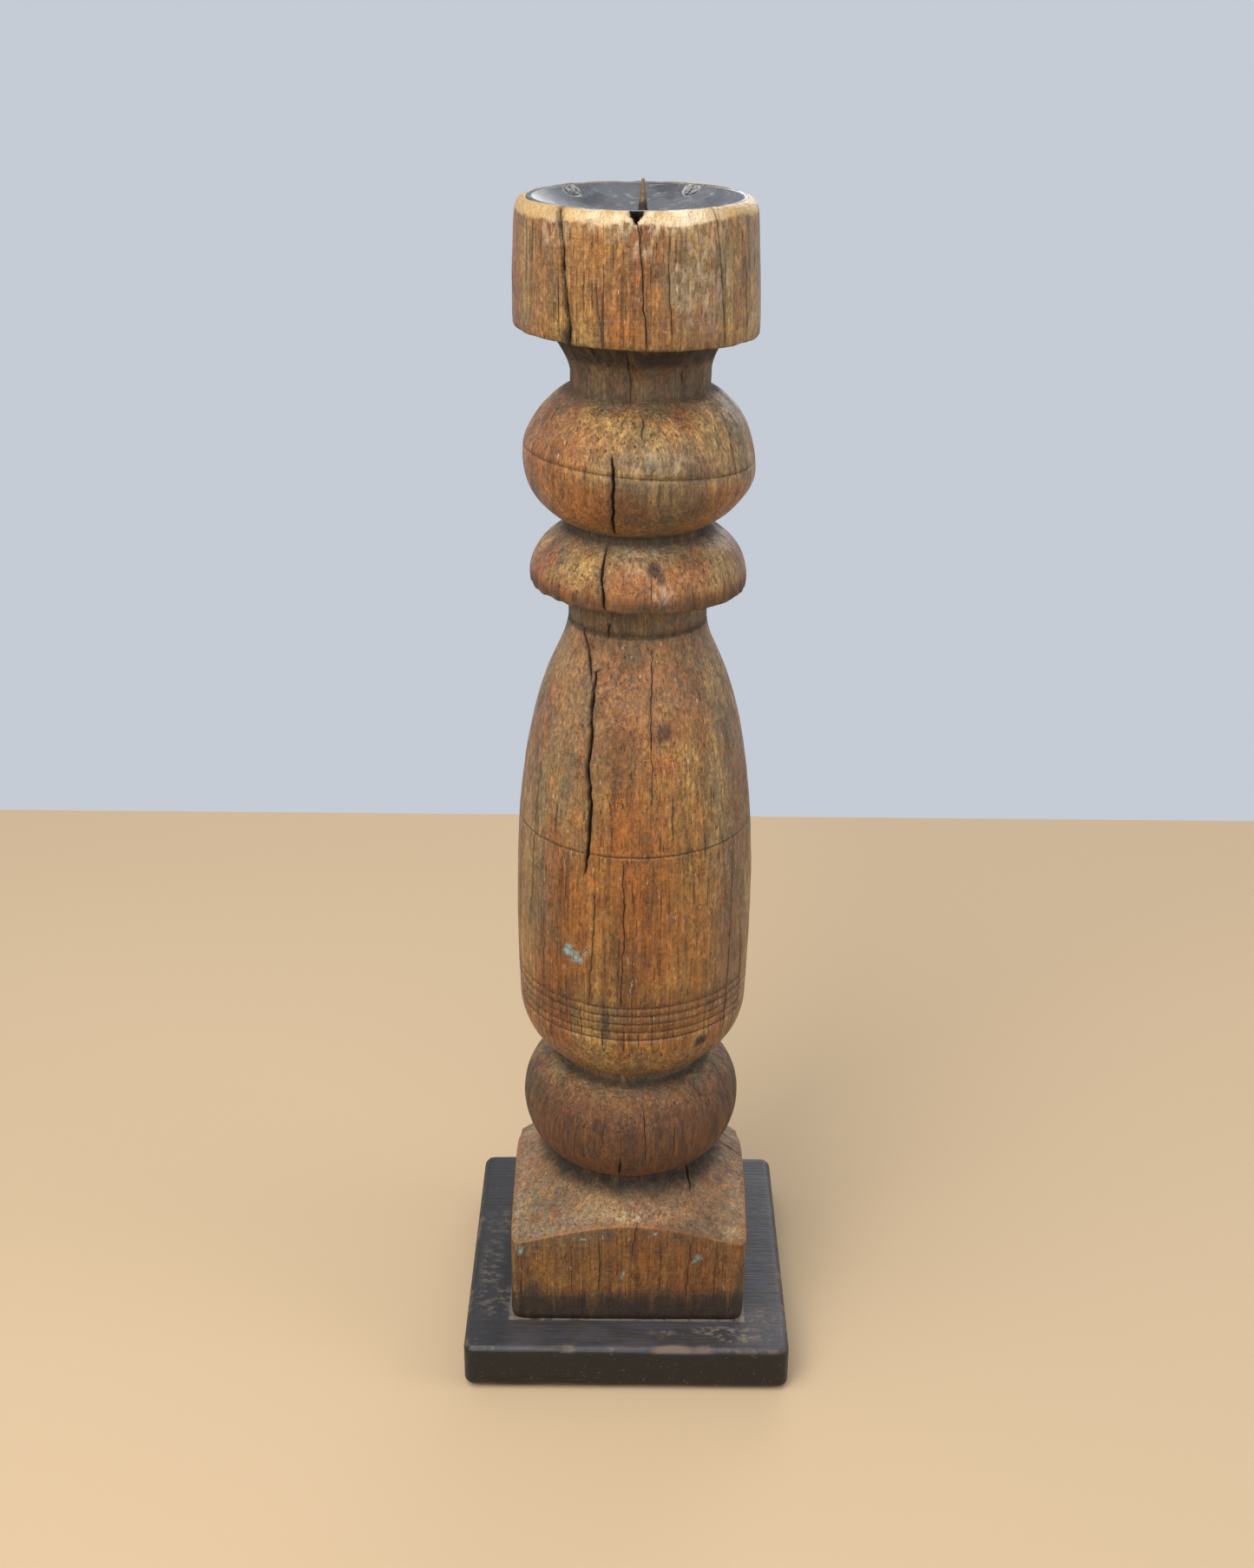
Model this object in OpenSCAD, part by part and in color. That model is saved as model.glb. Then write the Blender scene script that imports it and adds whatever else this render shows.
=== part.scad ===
// Pricket candlestick made from a turned furniture leg: a square plinth, two balls, a long
// vase, a collar and a cup, all one piece of hardwood, screwed to a square painted board.
// A thin metal drip dish with an upright spike is screwed into the hollow of the cup.
// The axis of the turning is Z, the front of the board faces -Y, and the feet stand on z = 0.

/* [Base board] */
// Side of the square board
board_w = 110; // [96:1:150]
// Thickness of the board
board_t = 16.6; // [12:0.2:30]
// Radius of the board's four upright corners
board_corner_r = 3.6; // [2.5:0.2:10]
// Rounding along the board's top and bottom edges
board_edge_r = 2; // [0.5:0.1:3.5]

/* [Felt pads] */
// Diameter of each felt pad
pad_d = 16; // [8:1:24]
// Thickness of each felt pad
pad_t = 1; // [0.6:0.1:4]
// Distance from the board's edge to the centre of a pad
pad_inset = 15; // [13:1:26]

/* [Plinth] */
// Side of the square block at the foot of the turning
plinth_w = 80; // [60:1:94]
// Radius of the block's four upright corners
plinth_corner_r = 3.6; // [1:0.2:8]
// Height of the block where the turned shoulder cuts its corners
plinth_corner_h = 31; // [20:1:60]
// Rise of the shoulder from those corners to the neck
shoulder_rise = 17.4; // [10:0.2:30]
// How far the shoulder's curve is pulled below a straight cone
shoulder_dip = 1.8; // [0:0.1:3]

/* [Lower ball] */
// Radius of the short neck under the lower ball
low_neck_r = 26.5; // [18:0.5:28]
// Height of that neck
low_neck_h = 2.4; // [1:0.2:6]
// Radius of the lower ball
low_ball_r = 36.8; // [30:0.1:46]
// Height of the lower ball
low_ball_h = 35.2; // [24:0.2:50]
// Radius of the waist between the lower ball and the vase
waist_r = 24; // [16:0.5:26]
// Height of that waist
waist_h = 3.2; // [1:0.2:8]

/* [Vase] */
// Radius at the foot's full width, where the scribed lines begin
vase_r = 37.8; // [30:0.1:47]
// Height of the rounded foot of the vase
vase_foot_h = 21.4; // [12:0.2:34]
// Height of the vase above its foot
vase_body_h = 131.8; // [100:0.2:170]
// Number of scribed lines around the foot
scribe_count = 5; // [1:1:6]
// Distance from one scribed line to the next
scribe_pitch = 3; // [2:0.1:4]
// Depth of a scribed line
scribe_depth = 0.4; // [0.2:0.1:0.8]
// Height of the single scribed line above the vase's foot
high_line_h = 65.2; // [40:0.2:80]

/* [Collar] */
// Radius of the plain ring under the collar
ring_r = 21.4; // [16:0.2:25]
// Height of that ring
ring_h = 10.6; // [6:0.2:16]
// Radius of the collar's sharp lower edge
collar_r = 33.2; // [28:0.2:40]
// Height of the collar's upright edge
collar_edge_h = 2.6; // [1:0.2:5]
// Height of the collar's dome above that edge
collar_dome_h = 15.4; // [8:0.2:22]

/* [Upper ball] */
// Radius of the quirk between collar and upper ball
quirk_r = 22; // [16:0.2:25]
// Height of the quirk
quirk_h = 2; // [1:0.2:5]
// Radius of the upper ball
top_ball_r = 34.9; // [28:0.1:44]
// Height of the upper ball below its widest line
top_ball_low_h = 17.4; // [10:0.2:26]
// Height of the upper ball above its widest line
top_ball_high_h = 22.8; // [14:0.2:32]
// Height of the scribed line above the widest line
top_ball_line_h = 4; // [2:0.2:8]

/* [Neck] */
// Radius of the neck under the cup
neck_r = 20.6; // [14:0.2:24]
// Height of the neck's straight part
neck_h = 4.2; // [2:0.1:14]
// Height of the hollow flare under the cup
flare_h = 12.3; // [6:0.2:18]
// Radius of the flare where it meets the cup
flare_r = 26.5; // [25:0.2:30]

/* [Cup] */
// Radius of the cup at its lower lip
cup_r = 35.9; // [34:0.1:45]
// Radius of the cup just under its rim
cup_top_r = 35; // [34.2:0.1:45]
// Height of the cup
cup_h = 37.2; // [28:0.2:60]
// Rounding of the cup's lower lip
cup_lip_round = 1.2; // [0.5:0.1:3]
// Width of the worn rounding of the cup's rim
cup_rim_round = 3; // [1:0.1:3.2]
// Height of that rounding
cup_rim_round_h = 4.6; // [1:0.1:8]

/* [Drip dish] */
// Outer radius of the dish at its rim
dish_r = 31.6; // [25:0.1:31.8]
// Depth of the dish inside
dish_depth = 9.2; // [6:0.1:14]
// Thickness of the sheet metal
dish_t = 0.9; // [0.6:0.1:2]
// How far the dish's rim lies below the cup's rim
dish_drop = 0.3; // [0:0.1:2]
// Space left between the dish and the hollow it lies in
dish_gap = 0.05; // [0.02:0.01:0.3]

/* [Pricket] */
// Height of the spike above the bottom of the dish
spike_h = 14; // [8:0.5:40]
// Radius of the spike where it leaves the dish
spike_r = 1.6; // [1:0.1:3]
// Radius of the blunt tip
spike_tip_r = 0.5; // [0.2:0.1:0.9]
// How far the nail stands to the right of the middle
spike_off = 1.5; // [0:0.1:2]
// Radius of the nail head that is held under the dish
spike_head_r = 4; // [3.2:0.1:7]
// Thickness of that head
spike_head_t = 1.2; // [0.8:0.1:3]
// Space around the spike and its head
spike_gap = 0.05; // [0.02:0.01:0.3]

/* [Dish screws] */
// Directions of the four screws seen from above, counted from +X
dish_screw_turns = [56, 133, 226, 315]; // [0:1:359]
// Distance from the dish's rim in to the screws' centres
dish_screw_inset = 3.4; // [3.2:0.1:10]
// Radius of the flat head
dish_screw_head_r = 2.15; // [1.9:0.05:3]
// Radius of the shank
dish_screw_r = 1; // [0.8:0.1:1.5]
// Length of the screw with its head
dish_screw_len = 8; // [5:0.5:9.5]
// Width of the slot in the head
dish_screw_slot = 0.6; // [0.4:0.1:0.8]

/* [Base screws] */
// Distance from the plinth's faces to the screws' centres
base_screw_inset = 18; // [12:1:24]
// Radius of the countersunk head
base_screw_head_r = 4.5; // [4:0.1:6]
// Radius of the shank
base_screw_r = 2.2; // [1.8:0.1:3]
// Length of the screw with its head
base_screw_len = 42; // [26:1:48]
// How deep the head is sunk in the underside
base_screw_sink = 0.6; // [0:0.1:2]
// Width of the cross recess in the head
base_screw_cross = 1.2; // [0.8:0.1:1.6]

/* [Fit] */
// Space around the shank and head of every screw
screw_gap = 0.05; // [0.02:0.01:0.3]

/* [Hidden] */

$fn = 96;
cut = 1;                        // how far a cutting shape runs past the surface it cuts
round_turn = 63;                // part of a quarter turn that a ball's outline uses, degrees
full_turn = 85;                 // the same for the squat lower ball, above its widest line
low_turn = 75;                  // the same below it
lean_turn = 45;                 // the same for the upper ball, below its widest line
dome_turn = 60;                 // the same for the collar
edge_turn = 89;                 // the same for the cup's lip and rim
curve_steps = 10;               // straight lines in each rounded stretch of the outline
vase_fill = 4.3;                // how far out, and how far up, the vase's curve is pulled
vase_fill_at = 0.86;
vase_tail = 0.6;                // the same near the ring, counted from the ring down
vase_tail_at = 0.12;
flare_hold = 0.35;              // part of the flare that stays near the neck's width
flare_kick = 1.6;               // how far in the flare's last curve starts
flare_kick_at = 0.17;           // and how far below the flare's end, as a part of its height
collar_arris = 0.4;             // bevel of the collar's lower edge
spike_straight = 0.33;          // part of the nail's height that does not taper

// Heights up the turning, each from the one below it
z_board = pad_t;
z_column = z_board + board_t;
z_corner = z_column + plinth_corner_h;
z_low_neck = z_corner + shoulder_rise;
z_low_ball = z_low_neck + low_neck_h;
z_waist = z_low_ball + low_ball_h;
z_foot = z_waist + waist_h;
z_vase = z_foot + vase_foot_h;
z_ring = z_vase + vase_body_h;
z_collar = z_ring + ring_h;
z_dome = z_collar + collar_edge_h;
z_quirk = z_dome + collar_dome_h;
z_top_ball = z_quirk + quirk_h;
z_equator = z_top_ball + top_ball_low_h;
z_neck = z_equator + top_ball_high_h;
z_flare = z_neck + neck_h;
z_cup = z_flare + flare_h;
z_rim = z_cup + cup_h;

// The dish is a cap of a ball
z_dish_rim = z_rim - dish_drop;
dish_full_depth = dish_depth + dish_t;
dish_ball_r = (dish_r * dish_r + dish_full_depth * dish_full_depth) / (2 * dish_full_depth);
z_dish_ball = z_dish_rim - dish_full_depth + dish_ball_r;
dish_inner_r = dish_ball_r - dish_t;
z_dish_floor = z_dish_ball - dish_inner_r;
dish_screw_tilt = asin((dish_r - dish_screw_inset) / dish_inner_r);

// The nail head lies just under the dish
z_spike_head = z_dish_floor - dish_t - spike_gap - spike_head_t;

block_r = plinth_w / 2 * sqrt(2);
base_screw_at = plinth_w / 2 - base_screw_inset;
pad_at = board_w / 2 - pad_inset;

// Outline that swells from r_end to r_max over the height h: part of an ellipse through
// "turn" degrees, flat on at the widest line
function swell(r_end, r_max, z, h, turn) =
    let(a = (r_max - r_end) / (1 - cos(turn)), b = h / sin(turn))
    [for (i = [0:curve_steps])
        let(t = turn * (1 - i / curve_steps))
        [r_max - a * (1 - cos(t)), z + h - b * sin(t)]];

// The same outline from the widest line up to its narrow end
function shrink(r_max, r_end, z, h, turn) =
    let(a = (r_max - r_end) / (1 - cos(turn)), b = h / sin(turn))
    [for (i = [0:curve_steps])
        let(t = turn * i / curve_steps)
        [r_max - a * (1 - cos(t)), z + b * sin(t)]];

// A smooth curve from p to q that leaves along m and arrives along n
function sweep(p, m, n, q, steps) =
    [for (i = [0:steps])
        let(t = i / steps, u = 1 - t)
        u * u * u * p + 3 * u * u * t * m + 3 * u * t * t * n + t * t * t * q];

// Outline of the shoulder that the lathe cuts across the square block
shoulder_mid = [(block_r + low_neck_r) / 2, (z_corner + z_low_neck) / 2 - shoulder_dip];
shoulder_line = sweep([block_r, z_corner], shoulder_mid, shoulder_mid,
    [low_neck_r, z_low_neck], curve_steps);

// Outline of the turning above the block, from bottom to top
vase_line = sweep([vase_r, z_vase], [vase_r + vase_fill, z_vase + vase_body_h * vase_fill_at],
    [ring_r + vase_tail, z_ring - vase_body_h * vase_tail_at], [ring_r, z_ring], 3 * curve_steps);
top_ball_line = shrink(top_ball_r, neck_r, z_equator, top_ball_high_h, round_turn);
flare_line = sweep([neck_r, z_flare], [neck_r, z_flare + flare_h * flare_hold],
    [flare_r - flare_kick, z_cup - flare_h * flare_kick_at], [flare_r, z_cup], curve_steps);
turned_line = concat(
    [[0, z_column], [low_neck_r, z_column], [low_neck_r, z_low_neck]],
    swell(low_neck_r, low_ball_r, z_low_ball, low_ball_h / 2, low_turn),
    shrink(low_ball_r, waist_r, z_low_ball + low_ball_h / 2, low_ball_h / 2, full_turn),
    swell(waist_r, vase_r, z_foot, vase_foot_h, round_turn),
    vase_line,
    [[ring_r, z_collar], [collar_r - collar_arris, z_collar], [collar_r, z_collar + collar_arris]],
    shrink(collar_r, quirk_r, z_dome, collar_dome_h, dome_turn),
    swell(quirk_r, top_ball_r, z_top_ball, top_ball_low_h, lean_turn),
    top_ball_line,
    flare_line,
    swell(cup_r - cup_lip_round, cup_r, z_cup, cup_lip_round, edge_turn),
    shrink(cup_top_r, cup_top_r - cup_rim_round, z_rim - cup_rim_round_h, cup_rim_round_h,
        edge_turn),
    [[0, z_rim]]);

// A rectangle with rounded corners
module rounded_rect(w, h, r) {
    square([w - 2 * r, h], center = true);
    square([w, h - 2 * r], center = true);
    for (x = [-1, 1], y = [-1, 1])
        translate([x * (w / 2 - r), y * (h / 2 - r)])
            circle(r);
}

// A V-shaped line cut round the turning at height z, on the given outline
module scribed_line(line, z) {
    translate([lookup(z, [for (p = line) [p[1], p[0]]]), z])
        rotate(45)
            square(scribe_depth * sqrt(2), center = true);
}

// Countersunk screw pointing down from its flat top at the origin, grown by gap
module screw_shape(head_r, shank_r, len, gap) {
    head_h = head_r - shank_r;
    translate([0, 0, -len - gap])
        cylinder(r = shank_r + gap, h = len + gap);
    translate([0, 0, -head_h])
        cylinder(r1 = shank_r + gap, r2 = head_r + gap, h = head_h);
}

// Puts its child at each dish screw, with +Z out of the dish along the screw
module at_dish_screws() {
    for (turn = dish_screw_turns)
        translate([0, 0, z_dish_ball])
            rotate([0, 0, turn])
                rotate([0, -dish_screw_tilt, 0])
                    translate([0, 0, -dish_inner_r])
                        children();
}

// Room for the dish screws, open towards the inside of the dish
module dish_screw_room() {
    at_dish_screws() {
        screw_shape(dish_screw_head_r, dish_screw_r, dish_screw_len, screw_gap);
        cylinder(r = dish_screw_head_r + screw_gap, h = cut);
    }
}

// Puts its child at each base screw, with +Z down and out of the underside
module at_base_screws() {
    for (s = [-1, 1])
        translate([s * base_screw_at, s * base_screw_at, z_board + base_screw_sink])
            rotate([180, 0, 0])
                children();
}

// Room for the base screws, open towards the underside
module base_screw_room() {
    at_base_screws() {
        screw_shape(base_screw_head_r, base_screw_r, base_screw_len, screw_gap);
        cylinder(r = base_screw_head_r + screw_gap, h = base_screw_sink + cut);
    }
}

module base_board() {
    color("#26252c")
        difference() {
            translate([0, 0, z_board + board_t / 2])
                intersection() {
                    linear_extrude(board_t, center = true)
                        rounded_rect(board_w, board_w, board_corner_r);
                    rotate([90, 0, 0])
                        linear_extrude(board_w, center = true)
                            rounded_rect(board_w, board_t, board_edge_r);
                    rotate([90, 0, 90])
                        linear_extrude(board_w, center = true)
                            rounded_rect(board_w, board_t, board_edge_r);
                }
            base_screw_room();
        }
}

// The square block with its turned shoulder
module plinth() {
    intersection() {
        translate([0, 0, z_column])
            linear_extrude(z_low_neck - z_column)
                rounded_rect(plinth_w, plinth_w, plinth_corner_r);
        rotate_extrude()
            polygon(concat([[0, z_column], [block_r, z_column]], shoulder_line,
                [[0, z_low_neck]]));
    }
}

module turned_column() {
    color("#a8703c")
        difference() {
            union() {
                plinth();
                rotate_extrude()
                    difference() {
                        polygon(turned_line);
                        for (i = [0:scribe_count - 1])
                            scribed_line(vase_line, z_vase + (i + 0.5) * scribe_pitch);
                        scribed_line(vase_line, z_vase + high_line_h);
                        scribed_line(top_ball_line, z_equator + top_ball_line_h);
                    }
            }
            rotate_extrude()
                intersection() {
                    translate([0, z_dish_ball])
                        circle(dish_ball_r + dish_gap);
                    translate([0, z_column])
                        square([block_r, z_rim - z_column + cut]);
                }
            translate([spike_off, 0, z_spike_head - spike_gap])
                cylinder(r = spike_head_r + spike_gap, h = spike_head_t + dish_t);
            dish_screw_room();
            base_screw_room();
        }
}

module drip_dish() {
    color("#5b626b")
        difference() {
            rotate_extrude()
                intersection() {
                    difference() {
                        translate([0, z_dish_ball])
                            circle(dish_ball_r);
                        translate([0, z_dish_ball])
                            circle(dish_inner_r);
                    }
                    translate([0, z_dish_rim - dish_full_depth])
                        square([dish_ball_r, dish_full_depth]);
                }
            translate([spike_off, 0, z_spike_head])
                cylinder(r = spike_r + spike_gap, h = spike_h);
            dish_screw_room();
        }
}

module pricket() {
    z_neck_end = z_spike_head + spike_head_t;
    z_tip = z_dish_floor + spike_h;
    z_taper = z_dish_floor + spike_h * spike_straight;
    color("#6d5235")
        translate([spike_off, 0, 0])
            rotate_extrude()
                polygon([[0, z_spike_head], [spike_head_r, z_spike_head],
                    [spike_head_r, z_neck_end], [spike_r, z_neck_end], [spike_r, z_taper],
                    [spike_tip_r, z_tip - spike_tip_r], [0, z_tip]]);
}

module dish_screws() {
    color("#8a8678")
        at_dish_screws()
            difference() {
                screw_shape(dish_screw_head_r, dish_screw_r, dish_screw_len, 0);
                cube([3 * dish_screw_head_r, dish_screw_slot, dish_screw_slot * 2], center = true);
            }
}

module base_screws() {
    color("#b9b4a4")
        at_base_screws()
            difference() {
                screw_shape(base_screw_head_r, base_screw_r, base_screw_len, 0);
                for (a = [0, 90])
                    rotate([0, 0, a])
                        cube([base_screw_head_r, base_screw_cross, base_screw_r * 2], center = true);
            }
}

// One felt pad; x and y are the signs of the corner it stands under
module felt_pad(x, y) {
    color("#3b3733")
        translate([x * pad_at, y * pad_at, 0])
            cylinder(d = pad_d, h = pad_t);
}

base_board();
turned_column();
drip_dish();
pricket();
dish_screws();
base_screws();
felt_pad(-1, -1);  // felt_pad_front_left
felt_pad(1, -1);  // felt_pad_front_right
felt_pad(-1, 1);  // felt_pad_back_left
felt_pad(1, 1);  // felt_pad_back_right
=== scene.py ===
import math
import random

import bmesh
import bpy
import numpy as np
from mathutils import Matrix, Vector, noise


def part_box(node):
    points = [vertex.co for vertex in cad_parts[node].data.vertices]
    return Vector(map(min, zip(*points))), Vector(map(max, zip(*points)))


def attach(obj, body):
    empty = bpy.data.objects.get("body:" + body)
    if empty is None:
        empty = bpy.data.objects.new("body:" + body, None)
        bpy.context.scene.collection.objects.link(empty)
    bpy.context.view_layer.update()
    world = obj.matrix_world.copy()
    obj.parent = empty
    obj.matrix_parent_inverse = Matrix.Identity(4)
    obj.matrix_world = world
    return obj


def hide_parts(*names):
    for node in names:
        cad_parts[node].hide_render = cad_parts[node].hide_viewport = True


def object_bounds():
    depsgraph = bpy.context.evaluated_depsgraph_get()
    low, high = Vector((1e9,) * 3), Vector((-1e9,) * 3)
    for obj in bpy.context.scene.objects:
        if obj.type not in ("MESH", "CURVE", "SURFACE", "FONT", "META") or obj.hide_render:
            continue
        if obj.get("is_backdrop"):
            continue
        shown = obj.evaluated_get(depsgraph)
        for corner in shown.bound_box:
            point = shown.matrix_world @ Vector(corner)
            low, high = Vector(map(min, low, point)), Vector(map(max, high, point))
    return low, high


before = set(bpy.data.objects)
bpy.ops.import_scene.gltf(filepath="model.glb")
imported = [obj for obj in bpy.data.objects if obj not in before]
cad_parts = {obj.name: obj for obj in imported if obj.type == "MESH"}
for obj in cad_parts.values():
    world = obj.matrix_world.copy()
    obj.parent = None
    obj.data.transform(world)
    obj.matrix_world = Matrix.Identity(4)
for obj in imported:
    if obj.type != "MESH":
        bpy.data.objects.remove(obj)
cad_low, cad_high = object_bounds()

# ----------------------------------------
# Camera: half a metre in front of the stick and 7 cm above the cup's rim, looking down at the
# middle of the stick, so that the dish is seen at a flat angle and the board from above.

MM = 0.001
CAMERA_PLACE = (-1.5 * MM, -553.4 * MM, 453.8 * MM)
CAMERA_DOWN = math.radians(24.5)
CAMERA_ROLL = math.radians(0.52)
CAMERA_LENS = 43.3
FILM_WIDTH = 36

camera = bpy.data.objects.new("camera", bpy.data.cameras.new("camera"))
camera.data.sensor_width = FILM_WIDTH
camera.data.lens = CAMERA_LENS
camera.data.clip_start = 0.01
turn = Matrix.Rotation(math.pi / 2 - CAMERA_DOWN, 4, "X") @ Matrix.Rotation(CAMERA_ROLL, 4, "Z")
camera.matrix_world = Matrix.Translation(CAMERA_PLACE) @ turn
bpy.context.scene.collection.objects.link(camera)
bpy.context.scene.camera = camera

# ----------------------------------------
# Studio: a plain pale floor that carries the stick, broad soft lights overhead and in front on
# the left, a weaker one on the right, a distant one behind, and an even pale surround.

FLOOR_COLOUR = (0.54, 0.39, 0.235)
SURROUND = (0.80, 0.86, 0.95)
SURROUND_STRENGTH = 0.7
FLOOR_HALF_DEPTH = 1.5
FLOOR_WIDER = 2
FLOOR_FORWARD = 1.1
AIM = (0, 0, 0.2)


def soft_light(name, place, size, power, colour):
    """A square area light at place, facing the middle of the stick."""
    data = bpy.data.lights.new(name, "AREA")
    data.size = size
    data.energy = power
    data.color = colour
    lamp = bpy.data.objects.new(name, data)
    lamp.location = place
    aim = Vector(AIM) - Vector(place)
    lamp.rotation_euler = aim.to_track_quat("-Z", "Y").to_euler()
    lamp.visible_camera = False
    bpy.context.scene.collection.objects.link(lamp)


soft_light("sky_panel", (-0.3, -0.35, 1.05), 0.8, 7.4, (1.0, 0.98, 0.95))
soft_light("front_panel", (-0.42, -0.7, 0.78), 0.5, 4.7, (1.0, 0.97, 0.93))
soft_light("side_panel", (1.1, -0.3, 0.55), 0.6, 4.0, (0.93, 0.96, 1.0))
soft_light("back_panel", (0.5, 1.8, 0.8), 0.9, 8.0, (0.97, 0.98, 1.0))

world = bpy.data.worlds.new("surround")
world.use_nodes = True
world.node_tree.nodes["Background"].inputs["Color"].default_value = (*SURROUND, 1)
world.node_tree.nodes["Background"].inputs["Strength"].default_value = SURROUND_STRENGTH
bpy.context.scene.world = world
bpy.context.scene.view_settings.view_transform = "Standard"

paper = bpy.data.materials.new("paper")
paper.use_nodes = True
paper_shader = paper.node_tree.nodes["Principled BSDF"]
paper_shader.inputs["Base Color"].default_value = (*FLOOR_COLOUR, 1)
paper_shader.inputs["Roughness"].default_value = 0.9

ground = bmesh.new()
bmesh.ops.create_grid(ground, x_segments=1, y_segments=1, size=FLOOR_HALF_DEPTH)
bmesh.ops.scale(ground, vec=(FLOOR_WIDER, 1, 1), verts=ground.verts)
bmesh.ops.translate(ground, vec=(0, -FLOOR_FORWARD, 0), verts=ground.verts)
floor_mesh = bpy.data.meshes.new("floor")
ground.to_mesh(floor_mesh)
ground.free()
floor_mesh.materials.append(paper)
floor = bpy.data.objects.new("floor", floor_mesh)
floor.location.z = cad_low[2]
bpy.context.scene.collection.objects.link(floor)
floor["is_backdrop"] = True

# ----------------------------------------
# Base board: a square of soft wood with rounded corners and softened edges, painted satin black
# by brush along the grain. Two screws from below hold it to the plinth. The paint is rubbed
# through at the edges and scuffed on top.
# Its top is painted lighter than its sides, as painted light and shade.

BOARD_EDGE = 2.0 * MM
BOARD_CORNER = 3.6 * MM
BOARD_CELLS = 68
SIDE_CELLS = 6
RUB_START = 2.2 * MM
RUB_FULL = 0.3 * MM
EDGE_WEAR = 0.25
CHIP_DEPTH = 0.5
TOP_WAVES = 0.12
PAINT_SHADED_SIDE = (0.011, 0.010, 0.010)
PAINT_BLACK = (0.038, 0.035, 0.037)
PAINT_VIOLET = (0.053, 0.049, 0.058)
PAINT_BROWN = (0.060, 0.045, 0.035)
BARE_WOOD = (0.17, 0.115, 0.080)
PALE_SCUFF = (0.18, 0.142, 0.105)
GLUE_LINE = (0.22, 0.17, 0.115)
PLINTH_SIDE = 40.0 * MM

# Places where the paint is worn, on the board's own plan: middle, half lengths, strength
BOARD_SCUFFS = [
    ((-48, -12), (4, 16), 0.6),
    ((-46, 12), (5, 9), 0.5),
    ((-45, -30), (7, 8), 0.55),
    ((38, -47), (9, 4), 0.95),
    ((28, -45), (6, 3), 0.8),
    ((47, -38), (5, 5), 0.7),
    ((12, -46), (5, 2), 0.5),
    ((47, 20), (4, 10), 0.4),
    ((5, 47), (16, 4), 0.5),
    ((-30, 46), (7, 4), 0.6),
]

# Chips along its top edges, the longest one in front right of the middle: place on the board's
# plan, half length, strength
BOARD_CHIPS = [
    (16, -55, 9, 1.0),
    (26, -55, 4, 0.7),
    (-20, -55, 2, 0.5),
    (55, -20, 3, 0.6),
    (-55, 15, 3, 0.6),
    (30, 55, 6, 0.8),
]


def noise_group():
    """Shader group: soft-edged patches of fractal noise, stretched by Scale."""
    group = bpy.data.node_groups.new("patches", "ShaderNodeTree")
    face = group.interface
    face.new_socket("Scale", in_out="INPUT", socket_type="NodeSocketVector")
    for name, value in (("Detail", 3.0), ("Low", 0.4), ("High", 0.6)):
        face.new_socket(name, in_out="INPUT", socket_type="NodeSocketFloat").default_value = value
    face.new_socket("Shift", in_out="INPUT", socket_type="NodeSocketFloat")
    face.new_socket("Mask", in_out="OUTPUT", socket_type="NodeSocketFloat")
    nodes, link = group.nodes, group.links.new
    given = nodes.new("NodeGroupInput")
    result = nodes.new("NodeGroupOutput")
    place = nodes.new("ShaderNodeTexCoord")
    stretch = nodes.new("ShaderNodeVectorMath")
    stretch.operation = "MULTIPLY"
    slide = nodes.new("ShaderNodeVectorMath")
    slide.operation = "ADD"
    cloud = nodes.new("ShaderNodeTexNoise")
    cloud.inputs["Scale"].default_value = 1.0
    cloud.inputs["Roughness"].default_value = 0.6
    edge = nodes.new("ShaderNodeMapRange")
    edge.interpolation_type = "SMOOTHSTEP"
    link(place.outputs["Object"], stretch.inputs[0])
    link(given.outputs["Scale"], stretch.inputs[1])
    link(stretch.outputs[0], slide.inputs[0])
    link(given.outputs["Shift"], slide.inputs[1])
    link(slide.outputs[0], cloud.inputs["Vector"])
    link(given.outputs["Detail"], cloud.inputs["Detail"])
    link(cloud.outputs["Fac"], edge.inputs["Value"])
    link(given.outputs["Low"], edge.inputs["From Min"])
    link(given.outputs["High"], edge.inputs["From Max"])
    link(edge.outputs["Result"], result.inputs["Mask"])
    return group


PATCHES = noise_group()


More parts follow.
